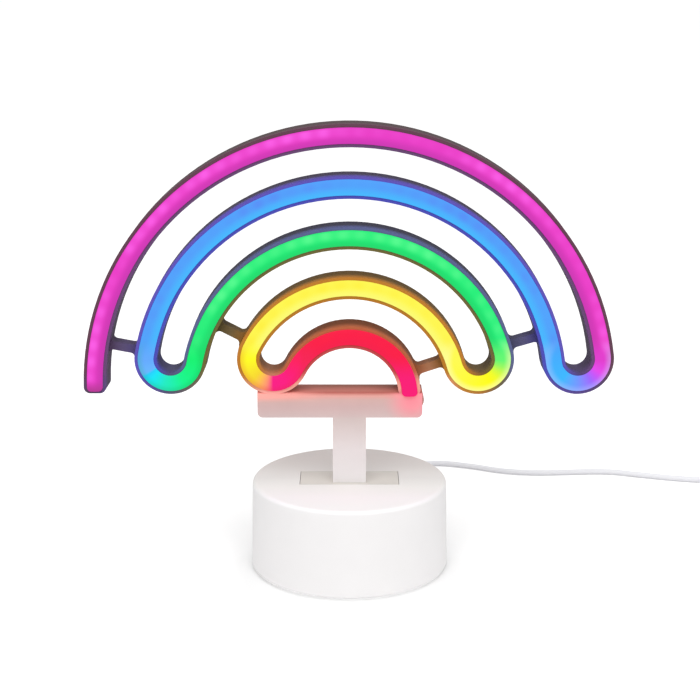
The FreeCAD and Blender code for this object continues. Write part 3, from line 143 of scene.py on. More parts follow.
class NodeSheet:
    """One node tree, with short ways to add and join nodes."""

    COLUMN_WIDTH = 180
    MIX_INPUTS = (0, 6, 7)
    MIX_OUTPUT = 2

    def __init__(self, tree: bpy.types.NodeTree) -> None:
        """Keep the tree and count its columns."""
        self.tree = tree
        self.column = 0

    def add(self, kind: str, **settings: object) -> bpy.types.Node:
        """Add a node and set its properties.

        Args:
            kind: Blender's type name of the node.
            **settings: Properties to set on it.

        Returns:
            The new node.
        """
        node = self.tree.nodes.new(kind)
        node.location = (self.COLUMN_WIDTH * self.column, 0)
        self.column += 1
        for name, setting in settings.items():
            setattr(node, name, setting)
        return node

    def feed(self, socket: Socket, value: Value) -> None:
        """Link a socket to another, or set it to a plain value.

        Args:
            socket: Input that is fed.
            value: Output to link it to, or a number or colour to set.
        """
        if isinstance(value, Socket):
            self.tree.links.new(value, socket)
        elif isinstance(value, tuple) and socket.type == "RGBA":
            socket.default_value = (*value, 1.0)
        else:
            socket.default_value = value

    def math(self, operation: str, *values: Value, clamp: bool = False) -> Socket:
        """Add a Math node.

        Args:
            operation: Name of the operation.
            *values: Its inputs, in order.
            clamp: Whether the result stays from 0 to 1.

        Returns:
            The node's output.
        """
        node = self.add("ShaderNodeMath", operation=operation, use_clamp=clamp)
        for socket, value in zip(node.inputs, values):
            self.feed(socket, value)
        return node.outputs[0]

    def length(self, first: Value, second: Value) -> Socket:
        """Length of the way that has these two legs."""
        squares = self.math("ADD", self.math("MULTIPLY", first, first), self.math("MULTIPLY", second, second))
        return self.math("SQRT", squares)

    def step(self, value: Value, low: Value, high: Value) -> Socket:
        """Smooth step from 0 at low to 1 at high.

        Args:
            value: What is measured.
            low: Where the step starts.
            high: Where it ends.

        Returns:
            The step's output.
        """
        node = self.add("ShaderNodeMapRange", interpolation_type="SMOOTHSTEP")
        for socket, part in zip(node.inputs, (value, low, high, 0.0, 1.0)):
            self.feed(socket, part)
        return node.outputs[0]

    def mix(self, share: Value, first: Value, second: Value, blend: str = "MIX") -> Socket:
        """Mix two colours.

        Args:
            share: Share of the second colour.
            first: First colour.
            second: Second colour.
            blend: Blend mode.

        Returns:
            The mixed colour.
        """
        node = self.add("ShaderNodeMix", data_type="RGBA", blend_type=blend)
        for index, value in zip(self.MIX_INPUTS, (share, first, second)):
            self.feed(node.inputs[index], value)
        return node.outputs[self.MIX_OUTPUT]

    def ramp(self, value: Value, stops: Stops) -> Socket:
        """Colour ramp with the given stops.

        Args:
            value: Place on the ramp, from 0 to 1.
            stops: Colours by their place.

        Returns:
            The ramp's colour.
        """
        node = self.add("ShaderNodeValToRGB")
        elements = node.color_ramp.elements
        while len(elements) < len(stops):
            elements.new(0.5)
        for element, (place, colour) in zip(elements, sorted(stops.items())):
            element.position = place
            element.color = (*colour, 1.0)
        self.feed(node.inputs[0], value)
        return node.outputs[0]

    def along(self, value: Value, stops: Stops) -> Socket:
        """Colour ramp over a length.

        Args:
            value: Place in metres.
            stops: Colours by their place in metres.

        Returns:
            The colour at the place.
        """
        low, high = min(stops), max(stops)
        share = self.math("DIVIDE", self.math("SUBTRACT", value, low), high - low)
        return self.ramp(share, {(place - low) / (high - low): stops[place] for place in stops})

    def place(self) -> Socket:
        """Object coordinates of the shaded point."""
        return self.add("ShaderNodeTexCoord").outputs["Object"]

    def spot(self) -> tuple[Socket, Socket, Socket]:
        """Object coordinates of the shaded point, one by one.

        Returns:
            Its x, y and z.
        """
        parts = self.add("ShaderNodeSeparateXYZ")
        self.feed(parts.inputs[0], self.place())
        return parts.outputs[0], parts.outputs[1], parts.outputs[2]

    def noise(self, place: Socket, scale: Value, detail: float) -> Socket:
        """Noise over the surface.

        Args:
            place: Coordinates that it follows.
            scale: Its scale.
            detail: Its number of finer layers.

        Returns:
            The noise, from 0 to 1.
        """
        node = self.add("ShaderNodeTexNoise")
        for name, value in (("Vector", place), ("Scale", scale), ("Detail", detail)):
            self.feed(node.inputs[name], value)
        return node.outputs[0]

    def group(self, effect: Effect, **inputs: Value) -> bpy.types.Node:
        """Place a shared node group and feed its named inputs.

        Args:
            effect: The group.
            **inputs: Values or sockets by input name, with underscores for spaces.

        Returns:
            The group node.
        """
        node = self.add("ShaderNodeGroup", node_tree=bpy.data.node_groups[effect.value])
        for key, value in inputs.items():
            self.feed(node.inputs[key.replace("_", " ")], value)
        return node


class SharedEffects:
    """Maker of the node groups that several finishes share."""

    FINE_DETAIL = 4.0
    BLOTCH_DETAIL = 3.0
    BLOTCH_SCALE = 0.03
    NOISE_MIDDLE = 0.5
    NEAR_GAIN = 4.0

    @staticmethod
    def start(
        effect: Effect, inputs: tuple[str, ...], outputs: tuple[str, ...]
    ) -> tuple[NodeSheet, bpy.types.NodeOutputs, bpy.types.NodeInputs]:
        """Make an empty group with its sockets, which all carry numbers.

        Args:
            effect: The group.
            inputs: Names of its inputs.
            outputs: Names of its outputs.

        Returns:
            The group's sheet, the sockets that it is given and those that it makes, by name.
        """
        tree = bpy.data.node_groups.new(effect.value, "ShaderNodeTree")
        for side, labels in (("INPUT", inputs), ("OUTPUT", outputs)):
            for label in labels:
                tree.interface.new_socket(name=label, in_out=side, socket_type="NodeSocketFloat")
        sheet = NodeSheet(tree)
        return sheet, sheet.add("NodeGroupInput").outputs, sheet.add("NodeGroupOutput").inputs

    def moulded_grain(self) -> None:
        """Fine texture of moulded plastic: a height, an uneven roughness and broad blotches."""
        sheet, given, made = self.start(
            Effect.GRAIN, ("Scale", "Roughness", "Spread"), ("Height", "Roughness", "Blotch")
        )
        place = sheet.place()
        fine = sheet.noise(place, given["Scale"], self.FINE_DETAIL)
        broad_scale = sheet.math("MULTIPLY", given["Scale"], self.BLOTCH_SCALE)
        broad = sheet.noise(place, broad_scale, self.BLOTCH_DETAIL)
        off_middle = sheet.math("SUBTRACT", broad, self.NOISE_MIDDLE)
        swing = sheet.math("MULTIPLY", off_middle, given["Spread"])
        sheet.feed(made["Height"], fine)
        sheet.feed(made["Roughness"], sheet.math("ADD", given["Roughness"], swing, clamp=True))
        sheet.feed(made["Blotch"], broad)

    def lamp_row(self) -> None:
        """Bright spot over each lamp of an arc, and the place across the strip from -1 to 1."""
        sheet, given, made = self.start(
            Effect.LAMP_ROW, ("Centre", "Radius", "Half Width", "First", "Step"), ("Spot", "Side")
        )
        x, _, z = sheet.spot()
        rise = sheet.math("SUBTRACT", z, given["Centre"])
        angle = sheet.math("ARCTAN2", rise, x)
        off_line = sheet.math("SUBTRACT", sheet.length(x, rise), given["Radius"])
        count = sheet.math("DIVIDE", sheet.math("SUBTRACT", angle, given["First"]), given["Step"])
        wave = sheet.math("COSINE", sheet.math("MULTIPLY", count, 2 * math.pi))
        sheet.feed(made["Spot"], sheet.math("MULTIPLY_ADD", wave, 0.5, 0.5))
        sheet.feed(made["Side"], sheet.math("DIVIDE", off_line, given["Half Width"]))

    def turn_place(self) -> None:
        """Place round a turn's lower half, from its outer arc to the inner one, its share and its rim."""
        sheet, given, made = self.start(
            Effect.TURN, ("X", "Z", "Side", "Reach", "Fade", "Rim Low", "Rim High"), ("Place", "Share", "Rim")
        )
        x, _, z = sheet.spot()
        across = sheet.math("MULTIPLY", sheet.math("SUBTRACT", x, given["X"]), given["Side"])
        drop = sheet.math("SUBTRACT", given["Z"], z)
        angle = sheet.math("ARCTAN2", across, drop)
        away = sheet.length(across, drop)
        near = sheet.math("MULTIPLY", sheet.step(away, given["Reach"], 0.0), self.NEAR_GAIN, clamp=True)
        low = sheet.step(sheet.math("ADD", drop, given["Fade"]), 0.0, given["Fade"])
        sheet.feed(made["Place"], sheet.math("MULTIPLY_ADD", angle, -1 / math.pi, 0.5))
        sheet.feed(made["Share"], sheet.math("MULTIPLY", near, low))
        sheet.feed(made["Rim"], sheet.step(away, given["Rim Low"], given["Rim High"]))

    def build(self) -> None:
        """Make every group once."""
        self.moulded_grain()
        self.lamp_row()
        self.turn_place()


def new_material(name: str) -> tuple[Material, NodeSheet, bpy.types.Node]:
    """Make a material with one Principled shader.

    Args:
        name: Name of the material.

    Returns:
        The material, its sheet and its shader node.
    """
    material = bpy.data.materials.new(name)
    material.use_nodes = True
    material.node_tree.nodes.clear()
    sheet = NodeSheet(material.node_tree)
    shader = sheet.add("ShaderNodeBsdfPrincipled")
    end = sheet.add("ShaderNodeOutputMaterial")
    sheet.feed(end.inputs["Surface"], shader.outputs[0])
    return material, sheet, shader


@dataclass(frozen=True)
class Grain:
    """Fine grain of a surface, with a roughness that swings a little."""

    roughness: float = 0.42
    spread: float = 0.12
    scale: float = 2200.0
    depth: float = 0.03 * MM
    strength: float = 0.5

    def apply(self, sheet: NodeSheet, shader: bpy.types.Node) -> Socket:
        """Give a shader the grain.

        Args:
            sheet: Sheet of the material.
            shader: Its Principled shader.

        Returns:
            The grain's blotches, from 0 to 1.
        """
        grain = sheet.group(Effect.GRAIN, Scale=self.scale, Roughness=self.roughness, Spread=self.spread)
        bump = sheet.add("ShaderNodeBump")
        bump.inputs["Distance"].default_value = self.depth
        bump.inputs["Strength"].default_value = self.strength
        sheet.feed(bump.inputs["Height"], grain.outputs["Height"])
        sheet.feed(shader.inputs["Normal"], bump.outputs[0])
        sheet.feed(shader.inputs["Roughness"], grain.outputs["Roughness"])
        return grain.outputs["Blotch"]


@dataclass(frozen=True)
class MouldedFinish:
    """Moulded plastic or rubber with a fine grain and faint blotches."""

    name: str
    colour: Colour
    shade: Colour
    grain: Grain = Grain()
    specular: float = 0.4

    def material(self) -> Material:
        """Make the material.

        Returns:
            The material.
        """
        material, sheet, shader = new_material(self.name)
        plain = sheet.mix(self.grain.apply(sheet, shader), self.shade, self.colour)
        sheet.feed(shader.inputs["Base Color"], self.tone(sheet, plain))
        shader.inputs["Specular IOR Level"].default_value = self.specular
        return material

    def tone(self, sheet: NodeSheet, plain: Socket) -> Socket:
        """Colour over the piece, which is the same all over."""
        return plain


@dataclass(frozen=True)
class BaseFinish(MouldedFinish):
    """Base plastic, whose top has painted shade round the stand and painted light towards the front."""

    # Painted shade and light on the base's top, by y: darker round the stand, where the sign's shadow falls,
    # lighter towards the front.
    top: Stops = field(default_factory=lambda: {
        -0.043: linear(251, 250, 252), -0.029: linear(249, 245, 248), -0.015: linear(240, 238, 237),
        -0.008: linear(233, 231, 229), 0.0: linear(227, 224, 222), 0.018: linear(234, 229, 226),
        0.032: linear(242, 235, 232),
    })
    painted_top_edge: Pair = (0.0430, 0.0446)

    def tone(self, sheet: NodeSheet, plain: Socket) -> Socket:
        """Colour over the base, with the painted shade and painted light of its top."""
        _, y, z = sheet.spot()
        return sheet.mix(sheet.step(z, *self.painted_top_edge), plain, sheet.along(y, self.top))


@dataclass(frozen=True)
class MetalFinish:
    """Plated metal with faint streaks along one axis."""

    name: str
    colour: Colour
    shade: Colour
    roughness: float = 0.3
    spread: float = 0.18
    stretch: Point = (60.0, 60.0, 2600.0)
    streak_scale: float = 5.0
    streak_detail: float = 3.0

    def material(self) -> Material:
        """Make the material.

        Returns:
            The material.
        """
        material, sheet, shader = new_material(self.name)
        stretched = sheet.add("ShaderNodeMapping")
        stretched.inputs["Scale"].default_value = self.stretch
        sheet.feed(stretched.inputs["Vector"], sheet.place())
        streaks = sheet.noise(stretched.outputs[0], self.streak_scale, self.streak_detail)
        sheet.feed(shader.inputs["Base Color"], sheet.mix(streaks, self.shade, self.colour))
        swing = sheet.math("MULTIPLY_ADD", streaks, self.spread, self.roughness - self.spread / 2)
        sheet.feed(shader.inputs["Roughness"], swing)
        shader.inputs["Metallic"].default_value = 1.0
        return material


@dataclass(frozen=True)
class RainbowLine:
    """Centre line of the rainbow, as the solids have it."""

    arch_centre: float = 92.9 * MM
    outer_radius: float = 125.9 * MM
    arc_pitch: float = 24.0 * MM
    arc_drop: float = 0.6 * MM
    turn_height: float = 109.0 * MM
    violet_lift: float = 2.2 * MM
    spot_pitch: float = 8.35 * MM
    half_width: float = 3.8 * MM

    def radius(self, arc: Arc) -> float:
        """Radius of an arc's centre line."""
        return self.outer_radius - arc.value * self.arc_pitch

    def height(self, arc: Arc) -> float:
        """Height of an arc's centre."""
        return self.arch_centre - arc.value * self.arc_drop

    def turn(self, outer: Arc) -> Pair:
        """Turn between an arc and the next one in.

        Args:
            outer: The outer of the two arcs.

        Returns:
            The turn's centre x and its radius.
        """
        inner = Arc(outer.value + 1)
        rise_out = self.turn_height - self.height(outer)
        rise_in = self.turn_height - self.height(inner)
        big, small = self.radius(outer), self.radius(inner)
        radius = (big**2 - small**2 - rise_out**2 + rise_in**2) / (2 * (big + small))
        x = math.sqrt((big - radius) ** 2 - rise_out**2)
        return (x if outer.value % 2 == 0 else -x), radius

    def span(self, arc: Arc) -> Pair:
        """Ends of an arc, where its turns start.

        Args:
            arc: The arc.

        Returns:
            Its right and left end angles, in radians from +X.
        """
        right = 0.0
        left = math.pi - math.asin(self.violet_lift / self.outer_radius)
        for index in (arc.value - 1, arc.value):
            if 0 <= index < len(Arc) - 1:
                x, _ = self.turn(Arc(index))
                angle = math.atan2(self.turn_height - self.height(arc), x)
                if x > 0:
                    right = angle
                else:
                    left = angle
        return right, left

    def spots(self, arc: Arc) -> Pair:
        """Even row of bright spots along an arc.

        Args:
            arc: The arc.

        Returns:
            The first spot's angle and the step to the next one, in radians.
        """
        right, left = self.span(arc)
        count = int((left - right) * self.radius(arc) / self.spot_pitch)
        step = (left - right) / count
        return right + step / 2, step


@dataclass(frozen=True)
class TurnGlow:
    """Colours of the lit strip round the turn that leads from one arc to the next one in."""

    outer: Arc
    stops: Stops
    rim: Colour
    rim_share: float = 0.3
    reach: float = 27 * MM
    fade: float = 12 * MM

    def touches(self, arc: Arc) -> bool:
        """Whether an arc runs into this turn."""
        return arc.value - self.outer.value in (0, 1)

    def blend(self, sheet: NodeSheet, colour: Socket, line: RainbowLine) -> Socket:
        """Ease an arc's own colour into the turn's.

        Args:
            sheet: Sheet of the arc's material.
            colour: The arc's own colour.
            line: Centre line, which has the turn.

        Returns:
            The blended colour.
        """
        x, radius = line.turn(self.outer)
        turn = sheet.group(
            Effect.TURN, X=x, Z=line.turn_height, Side=math.copysign(1, x), Reach=self.reach,
            Fade=self.fade, Rim_Low=radius, Rim_High=radius + line.half_width,
        )
        rim = sheet.math("MULTIPLY", turn.outputs["Rim"], self.rim_share)
        round_turn = sheet.mix(rim, sheet.ramp(turn.outputs["Place"], self.stops), self.rim)
        return sheet.mix(turn.outputs["Share"], colour, round_turn)


@dataclass(frozen=True)
class EndGlow:
    """Colour of the lit strip near an open end, on one side of the sign."""

    colour: Colour
    side: int
    high: float
    low: float
    ease: float = 10 * MM

    def blend(self, sheet: NodeSheet, colour: Socket) -> Socket:
        """Ease an arc's own colour into the end's.

        Args:
            sheet: Sheet of the arc's material.
            colour: The arc's own colour.

        Returns:
            The blended colour.
        """
        x, _, z = sheet.spot()
        beside = sheet.step(sheet.math("MULTIPLY", x, self.side), 0.0, self.ease)
        share = sheet.math("MULTIPLY", beside, sheet.step(z, self.high, self.low))
        return sheet.mix(share, colour, self.colour)


@dataclass(frozen=True)
class GlowFinish:
    """Lit diffuser of one colour, brighter over the lamps and near its outer edge.

    Edges, rises and falls are places across the strip, from -1 at its inner edge to 1 at its outer
    one, apart from the cloud's. A gain is a factor and what is added after it.
    """

    arc: Arc
    main: Colour
    bright: Colour
    dark: Colour
    spot_share: float
    end: EndGlow | None = None
    unlit: Colour = (0.004, 0.004, 0.004)
    strength: float = 1.0
    specular: float = 0.04
    grain: Grain = Grain(roughness=0.4, scale=1800.0, depth=0.02 * MM)
    inner_edge: Pair = (0.35, -1.0)
    inner_share: float = 0.8
    outer_rise: Pair = (-0.5, 0.45)
    outer_fall: Pair = (1.15, 0.7)
    spot_gain: Pair = (0.5, 0.45)
    cloud_scale: float = 34.0
    cloud_detail: float = 2.0
    cloud_edge: Pair = (0.3, 0.7)
    cloud_gain: Pair = (0.9, 0.1)

    def along_arc(self, sheet: NodeSheet, line: RainbowLine) -> Socket:
        """Colour along the arc, away from its turns and ends.

        Args:
            sheet: Sheet of the material.
            line: Centre line, which gives the lamps.

        Returns:
            The colour.
        """
        first, step = line.spots(self.arc)
        row = sheet.group(
            Effect.LAMP_ROW, Centre=line.height(self.arc), Radius=line.radius(self.arc),
            Half_Width=line.half_width, First=first, Step=step,
        )
        side = row.outputs["Side"]
        inner = sheet.math("MULTIPLY", sheet.step(side, *self.inner_edge), self.inner_share)
        plain = sheet.mix(inner, self.main, self.dark)
        outer = sheet.math("MULTIPLY", sheet.step(side, *self.outer_rise), sheet.step(side, *self.outer_fall))
        lit = sheet.math("MULTIPLY", outer, sheet.math("MULTIPLY_ADD", row.outputs["Spot"], *self.spot_gain))
        cloud = sheet.noise(sheet.place(), self.cloud_scale, self.cloud_detail)
        cloud = sheet.math("MULTIPLY_ADD", sheet.step(cloud, *self.cloud_edge), *self.cloud_gain)
        lit = sheet.math("MULTIPLY", lit, cloud)
        return sheet.mix(sheet.math("MULTIPLY", lit, self.spot_share, clamp=True), plain, self.bright)

    def material(self, line: RainbowLine, turns: list[TurnGlow]) -> Material:
        """Make the material.

        Args:
            line: Centre line, which gives the lamps and the turns.
            turns: Colours of all the turns.

        Returns:
            The material.
        """
        material, sheet, shader = new_material(f"glow_{self.arc.word}")
        colour = self.along_arc(sheet, line)
        for turn in turns:
            if turn.touches(self.arc):
                colour = turn.blend(sheet, colour, line)
        if self.end is not None:
            colour = self.end.blend(sheet, colour)
        self.grain.apply(sheet, shader)
        shader.inputs["Base Color"].default_value = (*self.unlit, 1.0)
        shader.inputs["Specular IOR Level"].default_value = self.specular
        sheet.feed(shader.inputs["Emission Color"], colour)
        shader.inputs["Emission Strength"].default_value = self.strength
        return material


@dataclass(frozen=True)
class SignFinish:
    """Sign moulding: dark beside the lit strip, with painted light of the strip on it, and white on the stand
    with painted shade and painted red light.

    On the arch, colours go by the distance from the arcs' centre: the inner flank, the outer flank
    and the gap after it, arc by arc from red to violet. Painted strip light is near the front, darker
    colours with painted shade and painted strip light at the back, and painted strip light round the
    turns at the foot of the arch. On the stand, colours go by height, and on the crossbar's top by
    depth, with painted shade and painted red light on both. A pair that ends in an axis says where a
    part eases in, from nothing to its whole; spill_place is an x and a z, and mottle a factor and what
    is added after it.
    """

    name: str = "sign_moulding"
    # Painted light of each strip on the moulding near the front, by distance from the arcs' centre.
    front_painted_spill: Stops = field(default_factory=lambda: {
        0.016: linear(206, 150, 145), 0.0245: linear(190, 70, 72), 0.0345: linear(180, 102, 66),
        0.0417: linear(170, 110, 72), 0.049: linear(180, 120, 40), 0.0585: linear(186, 122, 50),
        0.0657: linear(108, 88, 56), 0.073: linear(112, 100, 54), 0.0825: linear(92, 98, 142),
        0.0897: linear(84, 78, 118), 0.097: linear(78, 78, 176), 0.1065: linear(98, 86, 180),
        0.1138: linear(84, 72, 112), 0.121: linear(104, 74, 116), 0.1305: linear(98, 68, 82),
    })
    # Darker colours at the back, with painted shade and painted light of the strips, by the same distance.
    back_painted_shade_spill: Stops = field(default_factory=lambda: {
        0.0245: linear(140, 84, 70), 0.0345: linear(138, 80, 46), 0.0417: linear(168, 120, 90),
        0.049: linear(120, 86, 42), 0.0585: linear(124, 94, 46), 0.0657: linear(116, 98, 66),
        0.073: linear(80, 68, 44), 0.0825: linear(70, 68, 84), 0.0897: linear(92, 90, 122),
        0.097: linear(72, 66, 108), 0.1065: linear(80, 72, 96), 0.1138: linear(96, 84, 118),
        0.121: linear(84, 70, 92), 0.1305: linear(80, 66, 68),
    })
    # Painted light of the strips on the moulding round the turns at the foot of the arch, by the same
    # distance.
    turns: Stops = field(default_factory=lambda: {
        0.0417: linear(236, 162, 146), 0.0560: linear(190, 128, 50), 0.0657: linear(176, 120, 56),
        0.0740: linear(112, 100, 74), 0.0897: linear(92, 88, 118), 0.1000: linear(92, 80, 160),
        0.1138: linear(92, 74, 140), 0.1270: linear(90, 72, 98),
    })
    # Stand by height: painted shade and painted red light, darker and pinker under the crossbar; the lowest
    # stop is the foot plate, darkened with painted shade of the stem.
    stem_painted_shade: Stops = field(default_factory=lambda: {
        0.0450: linear(214, 210, 204), 0.0455: linear(234, 230, 230), 0.0620: linear(228, 219, 219),
        0.0785: linear(211, 193, 190),
    })
    # Crossbar's front by height: painted red light of the strip above, with a painted highlight along its top
    # edge.
    bar_front_painted_glow: Stops = field(default_factory=lambda: {
        0.0793: linear(210, 188, 186), 0.0850: linear(209, 177, 175), 0.0885: linear(214, 176, 171),
        0.0905: linear(231, 167, 158), 0.0921: linear(188, 108, 98),
    })
    # Crossbar's top by depth: painted red light of the strip above, darker with painted shade towards the
    # back.
    bar_top_painted_glow_shade: Stops = field(default_factory=lambda: {
        0.0005: linear(186, 108, 98), 0.0040: linear(204, 128, 116), 0.0080: linear(196, 126, 114),
        0.0142: linear(160, 108, 92), 0.0155: linear(206, 182, 178),
    })
    bar_depth: float = 7.8 * MM
    # Painted pink light of the red strip's end on the crossbar's front, round spill_place.
    painted_red_spill: Colour = linear(254, 150, 162)
    spill_place: Pair = (0.0310, 0.0880)
    spill_reach: float = 0.0155
    # Painted light of the turn at the crossbar's left end, on its front and top.
    painted_end_spill: Colour = linear(254, 174, 164)
    painted_top_spill: float = 0.7
    edge_spill_x: Pair = (-0.006, -0.042)
    edge_spill_z: Pair = (0.0866, 0.0908)
    turn_painted_spill_z: Pair = (0.104, 0.096)
    painted_spill_y: Pair = (0.0, -0.0068)
    bar_front_y: Pair = (-0.0066, -0.0077)
    bar_z: Pair = (0.0786, 0.0800)
    stand_z: Pair = (0.0945, 0.0918)
    stand_x: Pair = (0.052, 0.047)
    grain: Grain = Grain(roughness=0.6, spread=0.14, scale=2400.0)
    mottle: Pair = (0.12, 0.94)
    specular: float = 0.04

    def arch(self, sheet: NodeSheet, line: RainbowLine) -> Socket:
        """Colour of the arch, with painted light of the strip beside it and painted shade at the back.

        Args:
            sheet: Sheet of the material.
            line: Centre line, whose middle arc gives the arcs' centre.

        Returns:
            The colour.
        """
        x, y, z = sheet.spot()
        away = sheet.length(x, sheet.math("SUBTRACT", z, line.height(Arc.GREEN)))
        # Painted strip light near the front, painted shade and painted strip light at the back.
        painted_spill = sheet.along(away, self.front_painted_spill)
        painted_spill = sheet.mix(sheet.step(z, *self.turn_painted_spill_z), painted_spill, sheet.along(away, self.turns))
        return sheet.mix(sheet.step(y, *self.painted_spill_y), sheet.along(away, self.back_painted_shade_spill), painted_spill)

    def bar(self, sheet: NodeSheet) -> Socket:
        """Colour of the crossbar, with painted light of the red strip above it and of its two ends, and
        painted shade at the back of its top.

        Args:
            sheet: Sheet of the material.

        Returns:
            The colour.
        """
        x, y, z = sheet.spot()
        beside = sheet.math("SUBTRACT", x, self.spill_place[0])
        away = sheet.length(beside, sheet.math("SUBTRACT", z, self.spill_place[1]))
        # Painted pink light round spill_place, painted light at the left end, and painted shade on the top.
        front = sheet.mix(sheet.step(away, self.spill_reach, 0.0), sheet.along(z, self.bar_front_painted_glow), self.painted_red_spill)
        left = sheet.step(x, *self.edge_spill_x)
        edge = sheet.math("MULTIPLY", left, sheet.step(z, *self.edge_spill_z))
        front = sheet.mix(edge, front, self.painted_end_spill)
        top = sheet.along(sheet.math("ADD", y, self.bar_depth), self.bar_top_painted_glow_shade)
        top = sheet.mix(sheet.math("MULTIPLY", left, self.painted_top_spill), top, self.painted_end_spill)
        return sheet.mix(sheet.step(y, *self.bar_front_y), top, front)

    def material(self, line: RainbowLine) -> Material:
        """Make the material.

        Args:
            line: Centre line, whose arcs place the painted strip light on the moulding.

        Returns:
            The material.
        """
        material, sheet, shader = new_material(self.name)
        x, _, z = sheet.spot()
        # Stand: painted shade and painted red light on the stem, and the crossbar's painted light and shade.
        stand = sheet.mix(sheet.step(z, *self.bar_z), sheet.along(z, self.stem_painted_shade), self.bar(sheet))
        low = sheet.step(z, *self.stand_z)
        middle = sheet.step(sheet.math("ABSOLUTE", x), *self.stand_x)
        colour = sheet.mix(sheet.math("MULTIPLY", low, middle), self.arch(sheet, line), stand)
        mottle = sheet.math("MULTIPLY_ADD", self.grain.apply(sheet, shader), *self.mottle)
        sheet.feed(shader.inputs["Base Color"], sheet.mix(1.0, colour, mottle, "MULTIPLY"))
        shader.inputs["Specular IOR Level"].default_value = self.specular
        return material


class Workshop:
    """Ways to model a piece by hand and to dress a node."""

    ROUND_SIDES = 48
    ROUND_ANGLE = math.radians(40)
    SMOOTH_ANGLE = math.radians(50)
    FACING = 0.9

    def __init__(self, frame: dict) -> None:
        """Keep the nodes of the loaded frame."""
        self.nodes: dict[str, Piece] = frame["nodes"]

    def dress(self, material: Material, *nodes: str) -> None:
        """Give CAD nodes a material in their own slots.

        Args:
            material: The material.
            *nodes: Names of the nodes.
        """
        for name in nodes:
            for slot in self.nodes[name].material_slots:
                slot.material = material
            LOG.info("dressed %s in %s", name, material.name)

    def dress_each(self, *rows: tuple[MouldedFinish | MetalFinish, tuple[str, ...]]) -> None:
        """Give groups of CAD nodes a finish each.

        Args:
            *rows: A finish and the names of its nodes.
        """
        for finish, nodes in rows:
            self.dress(finish.material(), *nodes)

    @staticmethod
    def select(*pieces: Piece) -> None:
        """Select these pieces alone, with the first one active.

        Args:
            *pieces: The pieces; none of them leaves nothing selected.
        """
        bpy.ops.object.select_all(action="DESELECT")
        for piece in pieces:
            piece.select_set(True)
        if pieces:
            bpy.context.view_layer.objects.active = pieces[0]

    @staticmethod
    def settle(name: str) -> Piece:
        """Name the new piece and put its place in its mesh.

        Args:
            name: Name of the piece.

        Returns:
            The piece.
        """
        piece = bpy.context.object
        piece.name = name
        bpy.ops.object.transform_apply(location=True, rotation=True, scale=True)
        return piece

    def block(self, name: str, low: Point | Vector, high: Point | Vector) -> Piece:
        """Block between two corners.

        Args:
            name: Name of the piece.
            low: Lowest corner.
            high: Highest corner.

        Returns:
            The block.
        """
        self.select()
        size = Vector(high) - Vector(low)
        middle = (Vector(high) + Vector(low)) / 2
        bpy.ops.mesh.primitive_cube_add(size=1, location=middle, scale=size)
        return self.settle(name)

    def drum(self, name: str, radius: float, depth: float, middle: Point, turn: Point = (0, 0, 0)) -> Piece:
        """Round drum, upright unless it is turned.

        Args:
            name: Name of the piece.
            radius: Its radius.
            depth: Its length along its axis.
            middle: Its middle.
            turn: Turn about each axis, in radians.

        Returns:
            The drum.
        """
        self.select()
        bpy.ops.mesh.primitive_cylinder_add(
            vertices=self.ROUND_SIDES, radius=radius, depth=depth, location=middle, rotation=turn
        )
        return self.settle(name)

    def open_faces(self, piece: Piece, *ways: Point) -> None:
        """Go into edit mode with only the faces selected that look one of these ways.

        Args:
            piece: The piece.
            *ways: Directions of length 1.
        """
        mesh = piece.data
        for group in (mesh.vertices, mesh.edges):
            group.foreach_set("select", [False] * len(group))
        for face in mesh.polygons:
            face.select = any(face.normal.dot(Vector(way)) > self.FACING for way in ways)
        bpy.context.tool_settings.mesh_select_mode = (False, False, True)
        self.select(piece)
        bpy.ops.object.mode_set(mode="EDIT")

    @staticmethod
    def leave() -> None:
        """Go back to object mode."""
        bpy.ops.object.mode_set(mode="OBJECT")

    def soften(self, piece: Piece, width: float, segments: int) -> None:
        """Round a piece's sharp edges and shade it smooth between them.

        Args:
            piece: The piece.
            width: Width of the bevel.
            segments: Its number of segments.
        """
        self.select(piece)
        bevel = piece.modifiers.new("round", "BEVEL")
        bevel.width = width
        bevel.segments = segments
        bevel.limit_method = "ANGLE"
        bevel.angle_limit = self.ROUND_ANGLE
        bpy.ops.object.modifier_apply(modifier=bevel.name)
        bpy.ops.object.shade_smooth_by_angle(angle=self.SMOOTH_ANGLE)

    def join(self, *pieces: Piece) -> None:
        """Join pieces into the first one.

        Args:
            *pieces: The pieces.
        """
        self.select(*pieces)
        bpy.ops.object.join()

    def copies(self, piece: Piece, shifts: list[Point], name: str) -> Piece:
        """Join copies of a piece into one object, each with its own mesh.

        Args:
            piece: Piece to copy; it isn't kept by itself.
            shifts: Shift of each copy.
            name: Name of the joined object.

        Returns:
            The joined object.
        """
        made = []
        for shift in shifts:
            twin = piece.copy()
            twin.data = piece.data.copy()
            bpy.context.scene.collection.objects.link(twin)
            twin.location = shift
            made.append(twin)
        bpy.data.objects.remove(piece)
        self.join(*made)
        return self.settle(name)

    @staticmethod
    def finish(piece: Piece, material: Material, slot: Slot, body: Body, *replaced: str) -> Piece:
        """Dress a new piece and tie it to the frame.

        Args:
            piece: The piece.
            material: Its material.
            slot: Not used.
            body: Body that it rides on.
            *replaced: CAD nodes that it stands for.

        Returns:
            The piece.
        """
        piece.data.materials.clear()
        piece.data.materials.append(material)
        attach(piece, body.value)
        if replaced:
            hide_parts(*replaced)
        LOG.info("made %s on %s", piece.name, body.value)
        return piece


